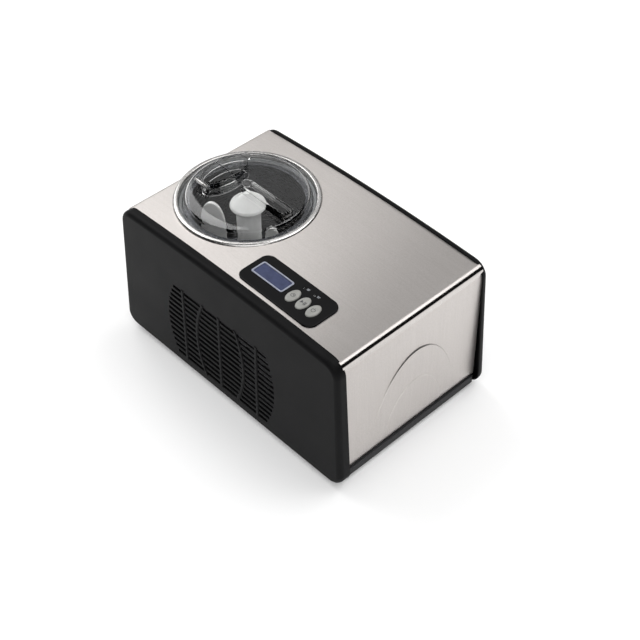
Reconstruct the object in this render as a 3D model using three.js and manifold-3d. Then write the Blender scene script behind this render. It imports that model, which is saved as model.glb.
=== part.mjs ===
// Ice cream maker with a built-in compressor, lift-out bowl and clear lid.
// Millimetres. +Z is up, +X runs along the body to the user's right, -Y faces the user.
// The origin lies on the table, under the middle of the body.
import * as THREE from 'three';
import { mergeVertices } from 'three/addons/utils/BufferGeometryUtils.js';
import Module from 'manifold-3d';

const wasm = await Module();
wasm.setup();

// ---------------------------------------------------------------- driving dimensions

const clearance = 0.3; // gap between pieces that seat on each other
const runningGap = 0.6; // gap around pieces that turn or slide

// Body shell
const bodyLength = 410; // over the side panels, at their top corners
const bodyWidth = 266.4; // over the side panels, at their top edges
const bodyHeight = 215.4; // top corners of the side panels
const crownRise = 6; // how far the top arches up along its length
const panelFootZ = 3; // lower edge of the side panels
const frontRim = 15.2; // width of the front panel's rim, seen from above
const rearRim = 9; // and of the rear panel's
const panelWall = 3;
const panelFlareX = 0.054; // the ends of the side panels spread by this per mm downwards
const panelFlareY = 0.018; // and their faces by this
const panelEdgeRadius = 7;
const panelTopCorner = 20;
const panelBottomCorner = 10;
const panelBossRadius = 5;
const panelBossX = 150;
const panelBossZ = 14;

// Steel cover
const steelInset = 2.6; // the side panels stand proud of the steel by this
const steelSheet = 1;
const steelBend = 8;
const steelFlare = 0.009;
const steelFootZ = 20.8;
const steelTuck = 2.2; // how far the steel reaches into the side panels
const archCentreY = 7; // arches pressed outwards on both ends, down to the foot
const archHalfWidth = 80;
const archHeight = 150;
const innerArchHalfWidth = 55;
const innerArchHeight = 98;
const archDepth = 1.4;
const innerArchDepth = 0.8;

// Grille in the front panel: rows of slots crossed by three straight and two bowed ribs
const grilleX = -10;
const grilleZ = 87;
const grilleRows = 14;
const grillePitch = 9.1;
const slotHeight = 5.4;
const grilleHalfWidth = 107.5; // at mid height
const grilleSideBulge = 16.5; // how much the sides bow outwards
const outerRibX = 71.5;
const bowedRibX = 46;
const bowedRibBulge = 15;
const ribWidth = 4.4;
const ribProud = 0.8;
const slotMargin = 0.7; // between a rib and the ends of the slots

// Outlet louvres in the rear panel
const louvreRows = 8;
const louvreColumns = 3;
const louvreWidth = 44;
const louvreHeight = 5;
const louvrePitchX = 49;
const louvrePitchZ = 10;
const louvreX = -60; // in the rear panel's own frame
const louvreZ = 92;

// Mains inlet in the rear panel
const inletEndGap = 40; // from the end of the body to the inlet's middle
const inletZ = 50;
const inletWidth = 27.5;
const inletHeight = 20;
const inletFlange = 3;
const inletFlangeDepth = 2;
const inletDepth = 22;

// Base tray and feet
const trayFootZ = 5;
const trayFloor = 3;
const trayWall = 3;
const trayEdgeRadius = 2;
const trayCorner = 3;
const trayProud = 3; // the tray's ends stand proud of the steel by this
const footRadius = 10;
const footEndGap = 27; // from the end of the body
const footSideGap = 26; // from the tray's side

// Bowl, well and drive on one upright axis
const collarEndGap = 5; // from the end of the body to the collar
const collarLap = 2.9; // how far the collar reaches over the steel
const collarProud = 2.5; // above the top of the crown
const collarWall = 2.3;
const ledgeDrop = 11.8; // from the collar's top to the ledge that carries the bowl
const ledgeThickness = 3;
const bowlRadius = 78; // outside
const bowlWall = 1;
const bowlFloorGap = 3.4; // above the well's floor
const bowlRimWidth = 9.4;
const bowlRimHeight = 2.4;
const bowlCorner = 9;
const chimneyRadius = 9.2;
const chimneyHeight = 56.6;
const wellWall = 1.5;
const coilRadius = 3.6;
const coilTurns = 3.5;
const coilRise = 24; // lowest turn, above the well's floor
const coilDrop = 25.5; // highest turn, below the ledge
const coilTail = 60;
const coilGap = 1.2; // between the coil and the surfaces it lies between
const foamWall = 8.4;
const foamFloor = 43.6;
const gasketWidth = 5.1;
const shaftRadius = 4;
const hexFlats = 9;
const hexLength = 16;

// Paddle
const columnRadius = 16.5;
const capRadius = 24.8;
const capPeakRise = 18; // above the ledge
const capHeight = 22;
const bladeThickness = 5;
const bladeTurn = 214; // degrees, direction of the tall blade
const tallBladeDrop = 8.5; // below the ledge
const lowBladeDrop = 38.5;
const tallWebRise = 44.6; // above the bowl's floor
const lowWebRise = 34.6;
const scraperRadius = 74;
const paddleFootGap = 3.4; // above the underside of the bowl's floor

// Lid
const lidOverhang = 0.9; // past the bowl's rim
const lidWall = 2.2;
const lidFlangeHeight = 2.5;
const lidRimInset = 2.8;
const lidHeight = 18.1; // outside, at the shoulder
const lidDomeRise = 2.2;
const neckX = -44.5; // from the bowl's axis
const neckHalfLength = 38;
const neckHalfWidth = 19.5;
const neckRise = 9.4; // above the shoulder
const neckDrop = 13.6;
const gripLength = 80;
const gripWidth = 19;
const gripRise = 11.4;
const bossRadius = 8;
const flapThickness = 2.2;
const flapPinRadius = 1.4;
const flapBarrelRadius = 3;
const flapBarrelLength = 14;

// Drive train under the well
const gearModule = 2.4;
const outputTeeth = 40;
const idlerTeeth = 28;
const pinionTeeth = 10;
const gearFace = 12;
const gearboxWall = 2.5;
const gearboxHeight = 22.7;
const gearboxCover = 3;
const motorRadius = 25;
const motorHeight = 86;

// Cold circuit
const compressorEndGap = 11.4; // to the steel
const compressorSideGap = 13; // to the tray's side
const compressorRadius = 51;
const compressorHeight = 132;
const mountInset = 4; // from the compressor's side to the three mounts
const mountHeight = 9;
const fanRadius = 44;
const fanBlades = 7;
const shroudRim = 8; // from the blades to the outside
const shroudFoot = 18; // from the tray to the frame
const shroudGap = 6; // to the insulation
const shroudPanelGap = 2;
const shroudDepth = 20;
const condenserFins = 15;
const condenserDepth = 24;
const condenserGap = 24; // from the shroud, where the motor stands
const sideTank = 7;
const finHalf = 0.7; // half the thickness of a fin
const drierRadius = 7;
const drierLength = 56;
const pipeRadius = 3;

// Control panel
const bezelLeftX = 1;
const bezelFrontGap = 6.5; // from the front panel
const bezelEnd = 9; // from the left end to the display
const bezelKeyEnd = 11.5; // from the last key to the right end
const bezelKeyFront = 13.5; // from the front edge to the keys
const bezelLampRear = 12; // from the lamps to the rear edge
const bezelCorner = 13;
const bezelProud = 2;
const bezelWindowInset = 6; // the hole in the steel is smaller than the bezel by this all round
const bezelPlate = 3;
const lcdSetBack = 2; // behind the bezel's middle
const lcdLength = 56;
const lcdWidth = 24;
const lcdFrame = 2.4;
const buttonCount = 3;
const buttonPitch = 18;
const buttonLcdGap = 6.5;
const buttonHalfWidth = 7.5;
const buttonHalfLength = 12;
const buttonProud = 1.4;
const buttonTravel = 1.2;
const ledCount = 2;
const ledGap = 7.5; // behind the keys
const ledRadius = 2;
const boardDrop = 19.8; // below the top of the crown
const boardThickness = 1.6;

// ---------------------------------------------------------------- values that follow

const panelInnerY = bodyWidth / 2 - frontRim; // the front panel ends this far from the middle
const rearInnerY = bodyWidth / 2 - rearRim;
const steelHalfLength = bodyLength / 2 - steelInset;
const steelEndZ = bodyHeight - steelInset;
const steelFrontY = -panelInnerY - steelTuck;
const steelRearY = rearInnerY + steelTuck;
const crownRadius = (steelHalfLength ** 2 + crownRise ** 2) / (2 * crownRise);
const crownTopZ = steelEndZ + crownRise;
const footX = bodyLength / 2 - footEndGap;
const footY = panelInnerY - footSideGap;
const inletX = inletEndGap - bodyLength / 2; // in the rear panel's own frame
const bowlRimRadius = bowlRadius + bowlRimWidth;
const lidRadius = bowlRimRadius + lidOverhang;
const collarHole = lidRadius + gasketWidth + collarWall + 3 * clearance; // hole in the steel
const collarRadius = collarHole + collarLap;
const bowlAxisX = collarEndGap + collarRadius - bodyLength / 2;
const collarTopZ = crownTopZ + collarProud;
const ledgeZ = collarTopZ - ledgeDrop;
const bowlRimZ = ledgeZ + clearance;
const lidBaseZ = bowlRimZ + bowlRimHeight + clearance;
const lidTopZ = lidBaseZ + lidHeight;
const neckTopZ = lidTopZ + neckRise;
const neckBottomZ = lidTopZ - neckDrop;
const gripTopZ = lidTopZ + gripRise;
const capPeakZ = ledgeZ + capPeakRise;
const capRimZ = capPeakZ - capHeight;
const tallBladeTopZ = ledgeZ - tallBladeDrop;
const lowBladeTopZ = ledgeZ - lowBladeDrop;
const wellRadius = bowlRadius + 1;
const coilPathRadius = wellRadius + wellWall + coilRadius + coilGap;
const foamInnerRadius = coilPathRadius + coilRadius + coilGap;
const foamRadius = foamInnerRadius + foamWall;
const floorZ = trayFootZ + trayFloor;
const gearboxZ = floorZ + clearance;
const gearboxTopZ = gearboxZ + gearboxHeight;
const coverTopZ = gearboxTopZ + clearance + gearboxCover;
const outputRadius = (gearModule * outputTeeth) / 2;
const idlerRadius = (gearModule * idlerTeeth) / 2;
const pinionRadius = (gearModule * pinionTeeth) / 2;
const idlerX = bowlAxisX + outputRadius + idlerRadius;
const motorX = idlerX + idlerRadius + pinionRadius;
const gearZ = gearboxZ + gearboxWall + 4;
const shaftFootZ = gearboxZ + gearboxWall + clearance;
const wellFloorZ = coverTopZ + foamFloor + wellWall + 2 * clearance; // inside
const bowlFloorZ = wellFloorZ + bowlFloorGap;
const chimneyTopZ = bowlFloorZ + chimneyHeight;
const coilLowZ = wellFloorZ + coilRise;
const coilHighZ = ledgeZ - coilDrop;
const socketZ = chimneyTopZ + 5;
const mountZ = floorZ + 6;
const compressorZ = mountZ + clearance + mountHeight + clearance;
const compressorX = steelHalfLength - compressorEndGap - compressorRadius;
const compressorY = panelInnerY - compressorSideGap - compressorRadius;
const mountRing = compressorRadius - mountInset; // radius of the circle of mounts
const shroudSize = 2 * (fanRadius + shroudRim);
const fanX = bowlAxisX + foamRadius + shroudGap + shroudSize / 2;
const fanZ = floorZ + shroudFoot + shroudSize / 2;
const shroudFrontY = shroudPanelGap - panelInnerY;
const condenserBackY = shroudFrontY + shroudDepth + condenserGap + condenserDepth;
const boardTopZ = crownTopZ - boardDrop;
const boardZ = boardTopZ - boardThickness;
const lcdX = bezelLeftX + bezelEnd + lcdLength / 2;
const firstKeyX = lcdX + lcdLength / 2 + buttonLcdGap + buttonHalfWidth;
const buttonX = Array.from({ length: buttonCount }, (_, i) => firstKeyX + i * buttonPitch);
const ledX = buttonX.slice(0, ledCount);
const bezelRightX = buttonX[buttonCount - 1] + buttonHalfWidth + bezelKeyEnd;
const bezelX = (bezelLeftX + bezelRightX) / 2;
const bezelLength = bezelRightX - bezelLeftX;
const bezelFrontY = bezelFrontGap - panelInnerY;
const buttonY = bezelFrontY + bezelKeyFront + buttonHalfLength;
const ledY = buttonY + buttonHalfLength + ledGap;
const bezelWidth = ledY + bezelLampRear - bezelFrontY;
const bezelY = bezelFrontY + bezelWidth / 2;
const lcdY = bezelY + lcdSetBack;

const fine = 32; // facets round the large turned pieces
const hidden = 24; // and round large ones inside the body
const coarse = 16;
const small = 9;
const round = { curveSegments: 6 }; // for ellipses and other full curves
const arcSteps = 3; // steps per eighth of a rounded corner
const crownSteps = 10;

function crownZ(x) {
  return crownTopZ - crownRadius + Math.sqrt(crownRadius ** 2 - x ** 2);
}

// ---------------------------------------------------------------- shapes and solids

function toSolid(geometry) {
  const bare = new THREE.BufferGeometry();
  bare.setAttribute('position', geometry.getAttribute('position'));
  if (geometry.index) bare.setIndex(geometry.index);
  const merged = mergeVertices(bare, 1e-4);
  const corners = merged.index.array;
  const kept = [];
  for (let i = 0; i < corners.length; i += 3) {
    const [a, b, c] = [corners[i], corners[i + 1], corners[i + 2]];
    if (a !== b && b !== c && c !== a) kept.push(a, b, c);
  }
  const vertProperties = new Float32Array(merged.getAttribute('position').array);
  const triVerts = new Uint32Array(kept);
  return new wasm.Manifold(new wasm.Mesh({ numProp: 3, vertProperties, triVerts }));
}

function toGeometry(solid) {
  const mesh = solid.getMesh();
  const geometry = new THREE.BufferGeometry();
  geometry.setAttribute('position', new THREE.BufferAttribute(mesh.vertProperties, 3));
  geometry.setIndex(new THREE.BufferAttribute(mesh.triVerts, 1));
  geometry.computeVertexNormals();
  return geometry;
}

function join(solids) {
  return solids.reduce((whole, solid) => whole.add(solid));
}

function cut(solid, tools) {
  return tools.reduce((rest, tool) => rest.subtract(tool), solid);
}

// A closed outline through corners [x, y, radius], each rounded by its own radius.
function roundedOutline(corners) {
  const shape = new THREE.Shape();
  const count = corners.length;
  corners.forEach(([x, y, radius = 0], i) => {
    const corner = new THREE.Vector2(x, y);
    const before = new THREE.Vector2(...corners[(i + count - 1) % count].slice(0, 2));
    const after = new THREE.Vector2(...corners[(i + 1) % count].slice(0, 2));
    before.sub(corner).normalize();
    after.sub(corner).normalize();
    const halfAngle = Math.acos(THREE.MathUtils.clamp(before.dot(after), -1, 1)) / 2;
    const reach = radius / Math.tan(halfAngle);
    const start = corner.clone().addScaledVector(before, reach);
    if (i === 0) shape.moveTo(start.x, start.y);
    else shape.lineTo(start.x, start.y);
    if (radius > 0) {
      const end = corner.clone().addScaledVector(after, reach);
      const inward = before.clone().add(after).normalize();
      const centre = corner.clone().addScaledVector(inward, radius / Math.sin(halfAngle));
      const from = start.sub(centre).angle();
      const to = end.sub(centre).angle();
      shape.absarc(centre.x, centre.y, radius, from, to, before.cross(after) > 0);
    }
  });
  shape.closePath();
  return shape;
}

function rectangle(length, width, radius = 0, x = 0, y = 0) {
  const [a, b] = [length / 2, width / 2];
  return roundedOutline([
    [x - a, y - b, radius],
    [x + a, y - b, radius],
    [x + a, y + b, radius],
    [x - a, y + b, radius],
  ]);
}

function ellipse(halfLength, halfWidth, x = 0, y = 0) {
  const shape = new THREE.Shape();
  shape.absellipse(x, y, halfLength, halfWidth, 0, 2 * Math.PI, false, 0);
  return shape;
}

// Two circles on the X axis wrapped by one belt.
function beltOutline(x0, r0, x1, r1) {
  const lean = Math.acos((r0 - r1) / (x1 - x0));
  const shape = new THREE.Shape();
  shape.absarc(x0, 0, r0, lean, 2 * Math.PI - lean, false);
  shape.absarc(x1, 0, r1, -lean, lean, false);
  shape.closePath();
  return shape;
}

function extrusion(shape, depth, options) {
  const settings = { depth, bevelEnabled: false, curveSegments: arcSteps, ...options };
  return new THREE.ExtrudeGeometry(shape, settings);
}

// A shape in plan, from one height to another.
function planGeometry(shape, z0, z1, options = {}) {
  return extrusion(shape, z1 - z0, options).translate(0, 0, z0);
}

function plan(shape, z0, z1, options) {
  return toSolid(planGeometry(shape, z0, z1, options));
}

// A shape seen from the front, X across and Z up, from y0 back to y1.
function frontGeometry(shape, y0, y1, options = {}) {
  return extrusion(shape, y1 - y0, options).rotateX(Math.PI / 2).translate(0, y1, 0);
}

function front(shape, y0, y1, options) {
  return toSolid(frontGeometry(shape, y0, y1, options));
}

// A shape seen from the right end, Y across and Z up, from x0 to x1.
function endGeometry(shape, x0, x1, options = {}) {
  const axes = new THREE.Matrix4().makeBasis(
    new THREE.Vector3(0, 1, 0),
    new THREE.Vector3(0, 0, 1),
    new THREE.Vector3(1, 0, 0),
  );
  return extrusion(shape, x1 - x0, options).applyMatrix4(axes).translate(x0, 0, 0);
}

function rounded(radius, segments = 2) {
  return {
    bevelEnabled: true,
    bevelThickness: radius,
    bevelSize: radius,
    bevelOffset: -radius,
    bevelSegments: segments,
  };
}

// A plan shape with its top edge rounded.
function softPlan(shape, z0, z1, radius, segments, options = {}) {
  const tall = planGeometry(shape, z0, z1 - radius, { ...rounded(radius, segments), ...options });
  const below = box([1000, 1000, 4 * radius], [0, 0, z0 - 2 * radius]);
  return toSolid(tall).subtract(below);
}

function box([x, y, z], [cx, cy, cz]) {
  return toSolid(new THREE.BoxGeometry(x, y, z).translate(cx, cy, cz));
}

function block([x0, x1], [y0, y1], [z0, z1]) {
  const size = [x1 - x0, y1 - y0, z1 - z0];
  return box(size, [(x0 + x1) / 2, (y0 + y1) / 2, (z0 + z1) / 2]);
}

function post(radius, z0, z1, [x, y] = [0, 0], facets = coarse) {
  const geometry = new THREE.CylinderGeometry(radius, radius, z1 - z0, facets);
  return toSolid(geometry.rotateX(Math.PI / 2).translate(x, y, (z0 + z1) / 2));
}

function rod(radius, y0, y1, [x, z], facets = coarse) {
  const geometry = new THREE.CylinderGeometry(radius, radius, y1 - y0, facets);
  return toSolid(geometry.translate(x, (y0 + y1) / 2, z));
}

// A profile of [radius, height] points turned about the Z axis, listed anticlockwise.
function turned(profile, facets = fine) {
  const points = profile.map(([r, z]) => new THREE.Vector2(r, z));
  return toSolid(new THREE.LatheGeometry(points, facets).rotateX(Math.PI / 2));
}

function ring(inner, outer, z0, z1, facets = fine) {
  return turned([[inner, z0], [outer, z0], [outer, z1], [inner, z1], [inner, z0]], facets);
}

function circleSection(radius, sides) {
  const turns = Array.from({ length: sides }, (_, i) => (2 * Math.PI * i) / sides);
  return new THREE.Shape(turns.map((a) => new THREE.Vector2(radius * Math.cos(a), radius * Math.sin(a))));
}

function pipe(curve, radius, steps, sides = 6) {
  const shape = circleSection(radius, sides);
  return toSolid(new THREE.ExtrudeGeometry(shape, { extrudePath: curve, steps }));
}

function smoothPath(points) {
  return new THREE.CatmullRomCurve3(points.map((p) => new THREE.Vector3(...p)));
}

// ---------------------------------------------------------------- body shell

// The steel's outline seen from the front, moved outwards by grow.
function steelOutline(grow, footZ) {
  const halfTop = steelHalfLength + grow;
  const topZ = (x) => crownZ(x) + grow;
  const halfFoot = halfTop + steelFlare * (steelEndZ - footZ);
  const bend = Math.max(steelBend + grow, 1);
  const corners = [[-halfFoot, footZ], [halfFoot, footZ], [halfTop, topZ(halfTop), bend]];
  for (let i = 1; i < crownSteps; i += 1) {
    const x = halfTop * (1 - (2 * i) / crownSteps);
    corners.push([x, topZ(x)]);
  }
  corners.push([-halfTop, topZ(halfTop), bend]);
  return roundedOutline(corners);
}

function underSteel(grow) {
  return front(steelOutline(grow, 0), -bodyWidth, bodyWidth);
}

// Ends of the cover lean out by the steel's flare.
function leanEnd(geometry) {
  const lean = new THREE.Matrix4();
  lean.set(1, 0, -steelFlare, steelFlare * steelEndZ, 0, 1, 0, 0, 0, 0, 1, 0, 0, 0, 0, 1);
  return geometry.applyMatrix4(lean);
}

function archOutline(halfWidth, height) {
  const shape = new THREE.Shape();
  shape.absellipse(archCentreY, 0, halfWidth, height, 0, Math.PI, false, 0);
  shape.closePath();
  return shape;
}

// One pressing in an end of the cover: a raised arch, with the sheet's thickness kept behind it.
function archPress({ halfWidth, height, base, depth }, side) {
  const face = steelHalfLength + base;
  const steps = { curveSegments: 6 };
  const behind = archOutline(halfWidth - steelSheet, height - steelSheet);
  const boss = endGeometry(archOutline(halfWidth, height), face - steelSheet / 2, face + depth, steps);
  const hollow = endGeometry(behind, face - 10 * steelSheet, face + depth - steelSheet, steps);
  const turn = side > 0 ? 0 : Math.PI;
  return {
    boss: toSolid(leanEnd(boss).rotateZ(turn)),
    hollow: toSolid(leanEnd(hollow).rotateZ(turn)),
  };
}

function steelCover() {
  const outer = front(steelOutline(0, steelFootZ), steelFrontY, steelRearY);
  const inner = front(steelOutline(-steelSheet, 0), -bodyWidth, bodyWidth);
  const arches = [
    { halfWidth: archHalfWidth, height: archHeight, base: 0, depth: archDepth },
    { halfWidth: innerArchHalfWidth, height: innerArchHeight, base: archDepth, depth: innerArchDepth },
  ];
  const under = block([-bodyLength, bodyLength], [-bodyWidth, bodyWidth], [-bodyHeight, steelFootZ]);
  let cover = outer.subtract(inner);
  for (const side of [1, -1]) {
    for (const arch of arches) {
      const { boss, hollow } = archPress(arch, side);
      cover = cover.add(boss.subtract(under)).subtract(hollow);
    }
  }
  const bowlHole = post(collarHole, ledgeZ - 50, collarTopZ + 50, [bowlAxisX, 0], fine);
  return cut(cover, [bowlHole, bezelPrism(-bezelWindowInset, crownTopZ - 40, crownTopZ + 40)]);
}

// The side panel's outline seen from the front.
function panelOutline() {
  const halfTop = bodyLength / 2;
  const halfFoot = halfTop + panelFlareX * (bodyHeight - panelFootZ);
  const topZ = (x) => crownZ(x) + steelInset;
  const corners = [
    [-halfFoot, panelFootZ, panelBottomCorner],
    [halfFoot, panelFootZ, panelBottomCorner],
    [halfTop, topZ(halfTop), panelTopCorner],
  ];
  for (let i = 1; i < crownSteps; i += 1) {
    const x = halfTop * (1 - (2 * i) / crownSteps);
    corners.push([x, topZ(x)]);
  }
  corners.push([-halfTop, topZ(halfTop), panelTopCorner]);
  return roundedOutline(corners);
}

// The faces of the side panels lean out towards the foot.
function leanFace(geometry) {
  const lean = new THREE.Matrix4();
  lean.set(
    1, 0, 0, 0,
    0, 1, panelFlareY, -panelFlareY * bodyHeight,
    0, 0, 1, 0,
    0, 0, 0, 1,
  );
  return geometry.applyMatrix4(lean);
}

// A side panel in its own frame, its face towards -Y.
function blankPanel(rim) {
  const faceY = -bodyWidth / 2;
  const innerY = faceY + rim;
  const depth = rim + panelEdgeRadius;
  const edge = rounded(panelEdgeRadius, 2);
  const body = frontGeometry(panelOutline(), faceY + panelEdgeRadius, faceY + depth, edge);
  const behind = block([-bodyLength, bodyLength], [innerY, 0], [-bodyHeight, 2 * bodyHeight]);
  const pocketShape = steelOutline(-steelSheet - panelWall, panelFootZ + panelWall);
  const pocket = toSolid(leanFace(frontGeometry(pocketShape, faceY + panelWall, 0)));
  const seat = front(steelOutline(clearance, steelFootZ - clearance),
    innerY - steelTuck - clearance, 0);
  const bossY = faceY - panelFlareY * (bodyHeight - panelBossZ) + panelWall / 2;
  const bosses = [-panelBossX, panelBossX].map((x) =>
    rod(panelBossRadius, bossY, innerY, [x, panelBossZ], small));
  const shell = cut(toSolid(leanFace(body)), [behind, pocket, seat]);
  return join([shell, ...bosses]);
}

function bow(z, bulge, halfHeight) {
  const radius = (halfHeight ** 2 + bulge ** 2) / (2 * bulge);
  return Math.sqrt(radius ** 2 - (z - grilleZ) ** 2) - radius;
}

const grilleHalfHeight = (grilleRows * grillePitch) / 2;

// Where the six columns of slots start and end at one height, from left to right.
function ribLines(z) {
  const side = grilleHalfWidth + bow(z, grilleSideBulge, grilleHalfHeight);
  const bowed = bowedRibX + bow(z, bowedRibBulge, grilleHalfHeight);
  return [-side, -outerRibX, -bowed, 0, bowed, outerRibX, side];
}

function throughFace(shape) {
  return front(shape, -bodyWidth / 2 - 10, -bodyWidth / 2 + 2 * panelWall);
}

function grilleSlots() {
  const slots = [];
  for (let row = 0; row < grilleRows; row += 1) {
    const z = grilleZ + (row - (grilleRows - 1) / 2) * grillePitch;
    const lines = ribLines(z);
    for (let column = 0; column + 1 < lines.length; column += 1) {
      const left = lines[column] + ribWidth / 2 + slotMargin;
      const right = lines[column + 1] - ribWidth / 2 - slotMargin;
      const middle = grilleX + (left + right) / 2;
      slots.push(throughFace(rectangle(right - left, slotHeight, 0, middle, z)));
    }
  }
  return slots;
}

function bowedRib(side) {
  const radius = (grilleHalfHeight ** 2 + bowedRibBulge ** 2) / (2 * bowedRibBulge);
  const sweep = Math.asin(grilleHalfHeight / radius);
  const facing = side > 0 ? 0 : Math.PI;
  const x = grilleX + side * (bowedRibX - radius);
  const shape = new THREE.Shape();
  shape.absarc(x, grilleZ, radius + ribWidth / 2, facing - sweep, facing + sweep, false);
  shape.absarc(x, grilleZ, radius - ribWidth / 2, facing + sweep, facing - sweep, true);
  shape.closePath();
  return shape;
}

function grilleRibs() {
  const faceY = -bodyWidth / 2;
  const straight = [-outerRibX, 0, outerRibX].map((x) =>
    rectangle(ribWidth, 2 * grilleHalfHeight, 0, grilleX + x, grilleZ));
  const shapes = [...straight, bowedRib(-1), bowedRib(1)];
  return shapes.map((shape) =>
    toSolid(leanFace(frontGeometry(shape, faceY - ribProud, faceY + panelWall / 2))));
}

function frontPanel() {
  return join([cut(blankPanel(frontRim), grilleSlots()), ...grilleRibs()]);
}

function louvreSlots() {
  const slots = [];
  for (let row = 0; row < louvreRows; row += 1) {
    for (let column = 0; column < louvreColumns; column += 1) {
      const x = louvreX + (column - (louvreColumns - 1) / 2) * louvrePitchX;
      const z = louvreZ + (row - (louvreRows - 1) / 2) * louvrePitchZ;
      slots.push(throughFace(rectangle(louvreWidth, louvreHeight, 0, x, z)));
    }
  }
  return slots;
}

function rearPanel() {
  const faceY = -bodyWidth / 2;
  const recess = leanFace(frontGeometry(inletOutline(inletFlange + clearance, 3), faceY - 10,
    faceY + inletFlangeDepth));
  const hole = throughFace(inletOutline(clearance, 2));
  return cut(blankPanel(rearRim), [...louvreSlots(), hole, toSolid(recess)]);
}

function inletOutline(grow, radius) {
  return rectangle(inletWidth + 2 * grow, inletHeight + 2 * grow, radius, inletX, inletZ);
}

// An appliance inlet: a sunk flange, a body through the panel, three pins in the socket.
function powerInlet() {
  const faceY = -bodyWidth / 2;
  const lean = (shape, y0, y1) => toSolid(leanFace(frontGeometry(shape, y0, y1)));
  const flangeY = faceY + inletFlangeDepth - clearance;
  const shell = [
    lean(inletOutline(inletFlange, 3), faceY, flangeY),
    lean(inletOutline(0, 2), faceY, faceY + inletDepth),
  ];
  const socket = lean(inletOutline(-2.5, 3), faceY - 5, faceY + inletDepth - 3);
  const pins = [[-7, -1.5], [0, 2.5], [7, -1.5]].map(([x, z]) =>
    lean(rectangle(2, 5, 0, inletX + x, inletZ + z), faceY + 4, faceY + inletDepth - 2));
  return join([join(shell).subtract(socket), ...pins]);
}

// ---------------------------------------------------------------- base tray and feet

function footSpots() {
  return [[-footX, -footY], [footX, -footY], [footX, footY], [-footX, footY]];
}

function mountSpots() {
  return [90, 210, 330].map((turn) => {
    const angle = THREE.MathUtils.degToRad(turn);
    return [compressorX + mountRing * Math.cos(angle), compressorY + mountRing * Math.sin(angle)];
  });
}

function baseTray() {
  const halfLength = steelHalfLength + steelFlare * (steelEndZ - steelFootZ) + trayProud;
  const width = panelInnerY + rearInnerY - 2 * clearance;
  const middleY = (rearInnerY - panelInnerY) / 2;
  const topZ = steelFootZ - clearance;
  const outline = rectangle(2 * halfLength, width, trayCorner, 0, middleY);
  const blank = planGeometry(outline, trayFootZ + trayEdgeRadius, topZ + 10, rounded(trayEdgeRadius));
  const above = block([-bodyLength, bodyLength], [-bodyWidth, bodyWidth], [topZ, bodyHeight]);
  const inner = halfLength - trayProud - trayWall;
  const inside = rectangle(2 * inner, width - 2 * trayWall, 0, 0, middleY);
  const tray = cut(toSolid(blank), [above, plan(inside, floorZ, topZ + 5)]);
  const lipX = steelHalfLength - steelSheet - clearance;
  const lips = [-1, 1].map((side) => {
    const reach = [side * (lipX - trayWall), side * lipX].sort((a, b) => a - b);
    return block(reach, [-panelInnerY + 12, panelInnerY - 12], [floorZ - 1, topZ + 5]);
  });
  const posts = mountSpots().flatMap((spot) => [
    post(7, floorZ - 1, mountZ, spot, small),
    post(2.8, floorZ, compressorZ + 5, spot, small),
  ]);
  const footHoles = footSpots().map((spot) => post(4 + clearance, 0, floorZ + 1, spot, small));
  const vents = [-2, -1, 0, 1, 2].map((i) =>
    plan(rectangle(50, 4, 0, compressorX, compressorY + 9 * i), 0, floorZ + 1));
  return cut(join([tray, ...lips, ...posts]), [...footHoles, ...vents]);
}

function foot() {
  const topZ = trayFootZ - clearance;
  return turned([
    [0, 0], [footRadius - 1, 0], [footRadius, 1], [footRadius, topZ], [4, topZ],
    [4, floorZ + clearance], [5.5, floorZ + clearance], [4, floorZ + 2.5], [0, floorZ + 2.5],
  ], 10);
}

// ---------------------------------------------------------------- bowl station

// The collar follows the arched steel with its underside and stays level on top.
function bowlCollar() {
  const plugRadius = collarHole - clearance;
  const inner = plugRadius - collarWall;
  const band = turned([
    [inner + 1, ledgeZ - 6], [collarRadius, ledgeZ - 6], [collarRadius, collarTopZ - 1.4],
    [collarRadius - 1.4, collarTopZ], [inner + 1, collarTopZ], [inner + 1, ledgeZ - 6],
  ]);
  const seated = band.subtract(underSteel(clearance).translate([-bowlAxisX, 0, 0]));
  const ledgeInner = bowlRadius + clearance + 0.4;
  const lowZ = ledgeZ - ledgeThickness;
  const cup = turned([
    [ledgeInner, lowZ], [plugRadius, lowZ], [plugRadius, collarTopZ], [inner + 0.7, collarTopZ],
    [inner, collarTopZ - 0.7], [inner, ledgeZ], [ledgeInner, ledgeZ], [ledgeInner, lowZ],
  ]);
  return seated.add(cup);
}

function coolingWell() {
  const topZ = ledgeZ - ledgeThickness - clearance;
  const outer = wellRadius + wellWall;
  const low = wellFloorZ - wellWall;
  const bush = 8 + clearance;
  return turned([
    [bush, low], [outer - 6, low], [outer, low + 6], [outer, topZ - wellWall],
    [foamInnerRadius + 4, topZ - wellWall], [foamInnerRadius + 4, topZ], [wellRadius, topZ],
    [wellRadius, low + 7], [wellRadius - 5.5, wellFloorZ], [bush, wellFloorZ], [bush, low],
  ], hidden);
}

function shaftBearing() {
  const flangeZ = wellFloorZ + clearance;
  const bore = shaftRadius + clearance;
  return turned([
    [bore, flangeZ - 8], [8, flangeZ - 8], [8, flangeZ], [12, flangeZ], [12, flangeZ + 1.6],
    [7, flangeZ + 2.4], [bore, flangeZ + 2.4], [bore, flangeZ - 8],
  ], coarse);
}

// Coil wound round the well, with straight tails leaving towards +X.
class CoilPath extends THREE.Curve {
  getPoint(t, target = new THREE.Vector3()) {
    const wound = 2 * Math.PI * coilTurns * coilPathRadius;
    const run = t * (wound + 2 * coilTail) - coilTail;
    const angle = -Math.PI / 2 - THREE.MathUtils.clamp(run, 0, wound) / coilPathRadius;
    const share = THREE.MathUtils.clamp(run / wound, 0, 1);
    const tail = Math.max(-run, run - wound, 0);
    return target.set(
      coilPathRadius * Math.cos(angle) + tail,
      coilPathRadius * Math.sin(angle),
      THREE.MathUtils.lerp(coilLowZ, coilHighZ, share),
    );
  }
}

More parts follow.
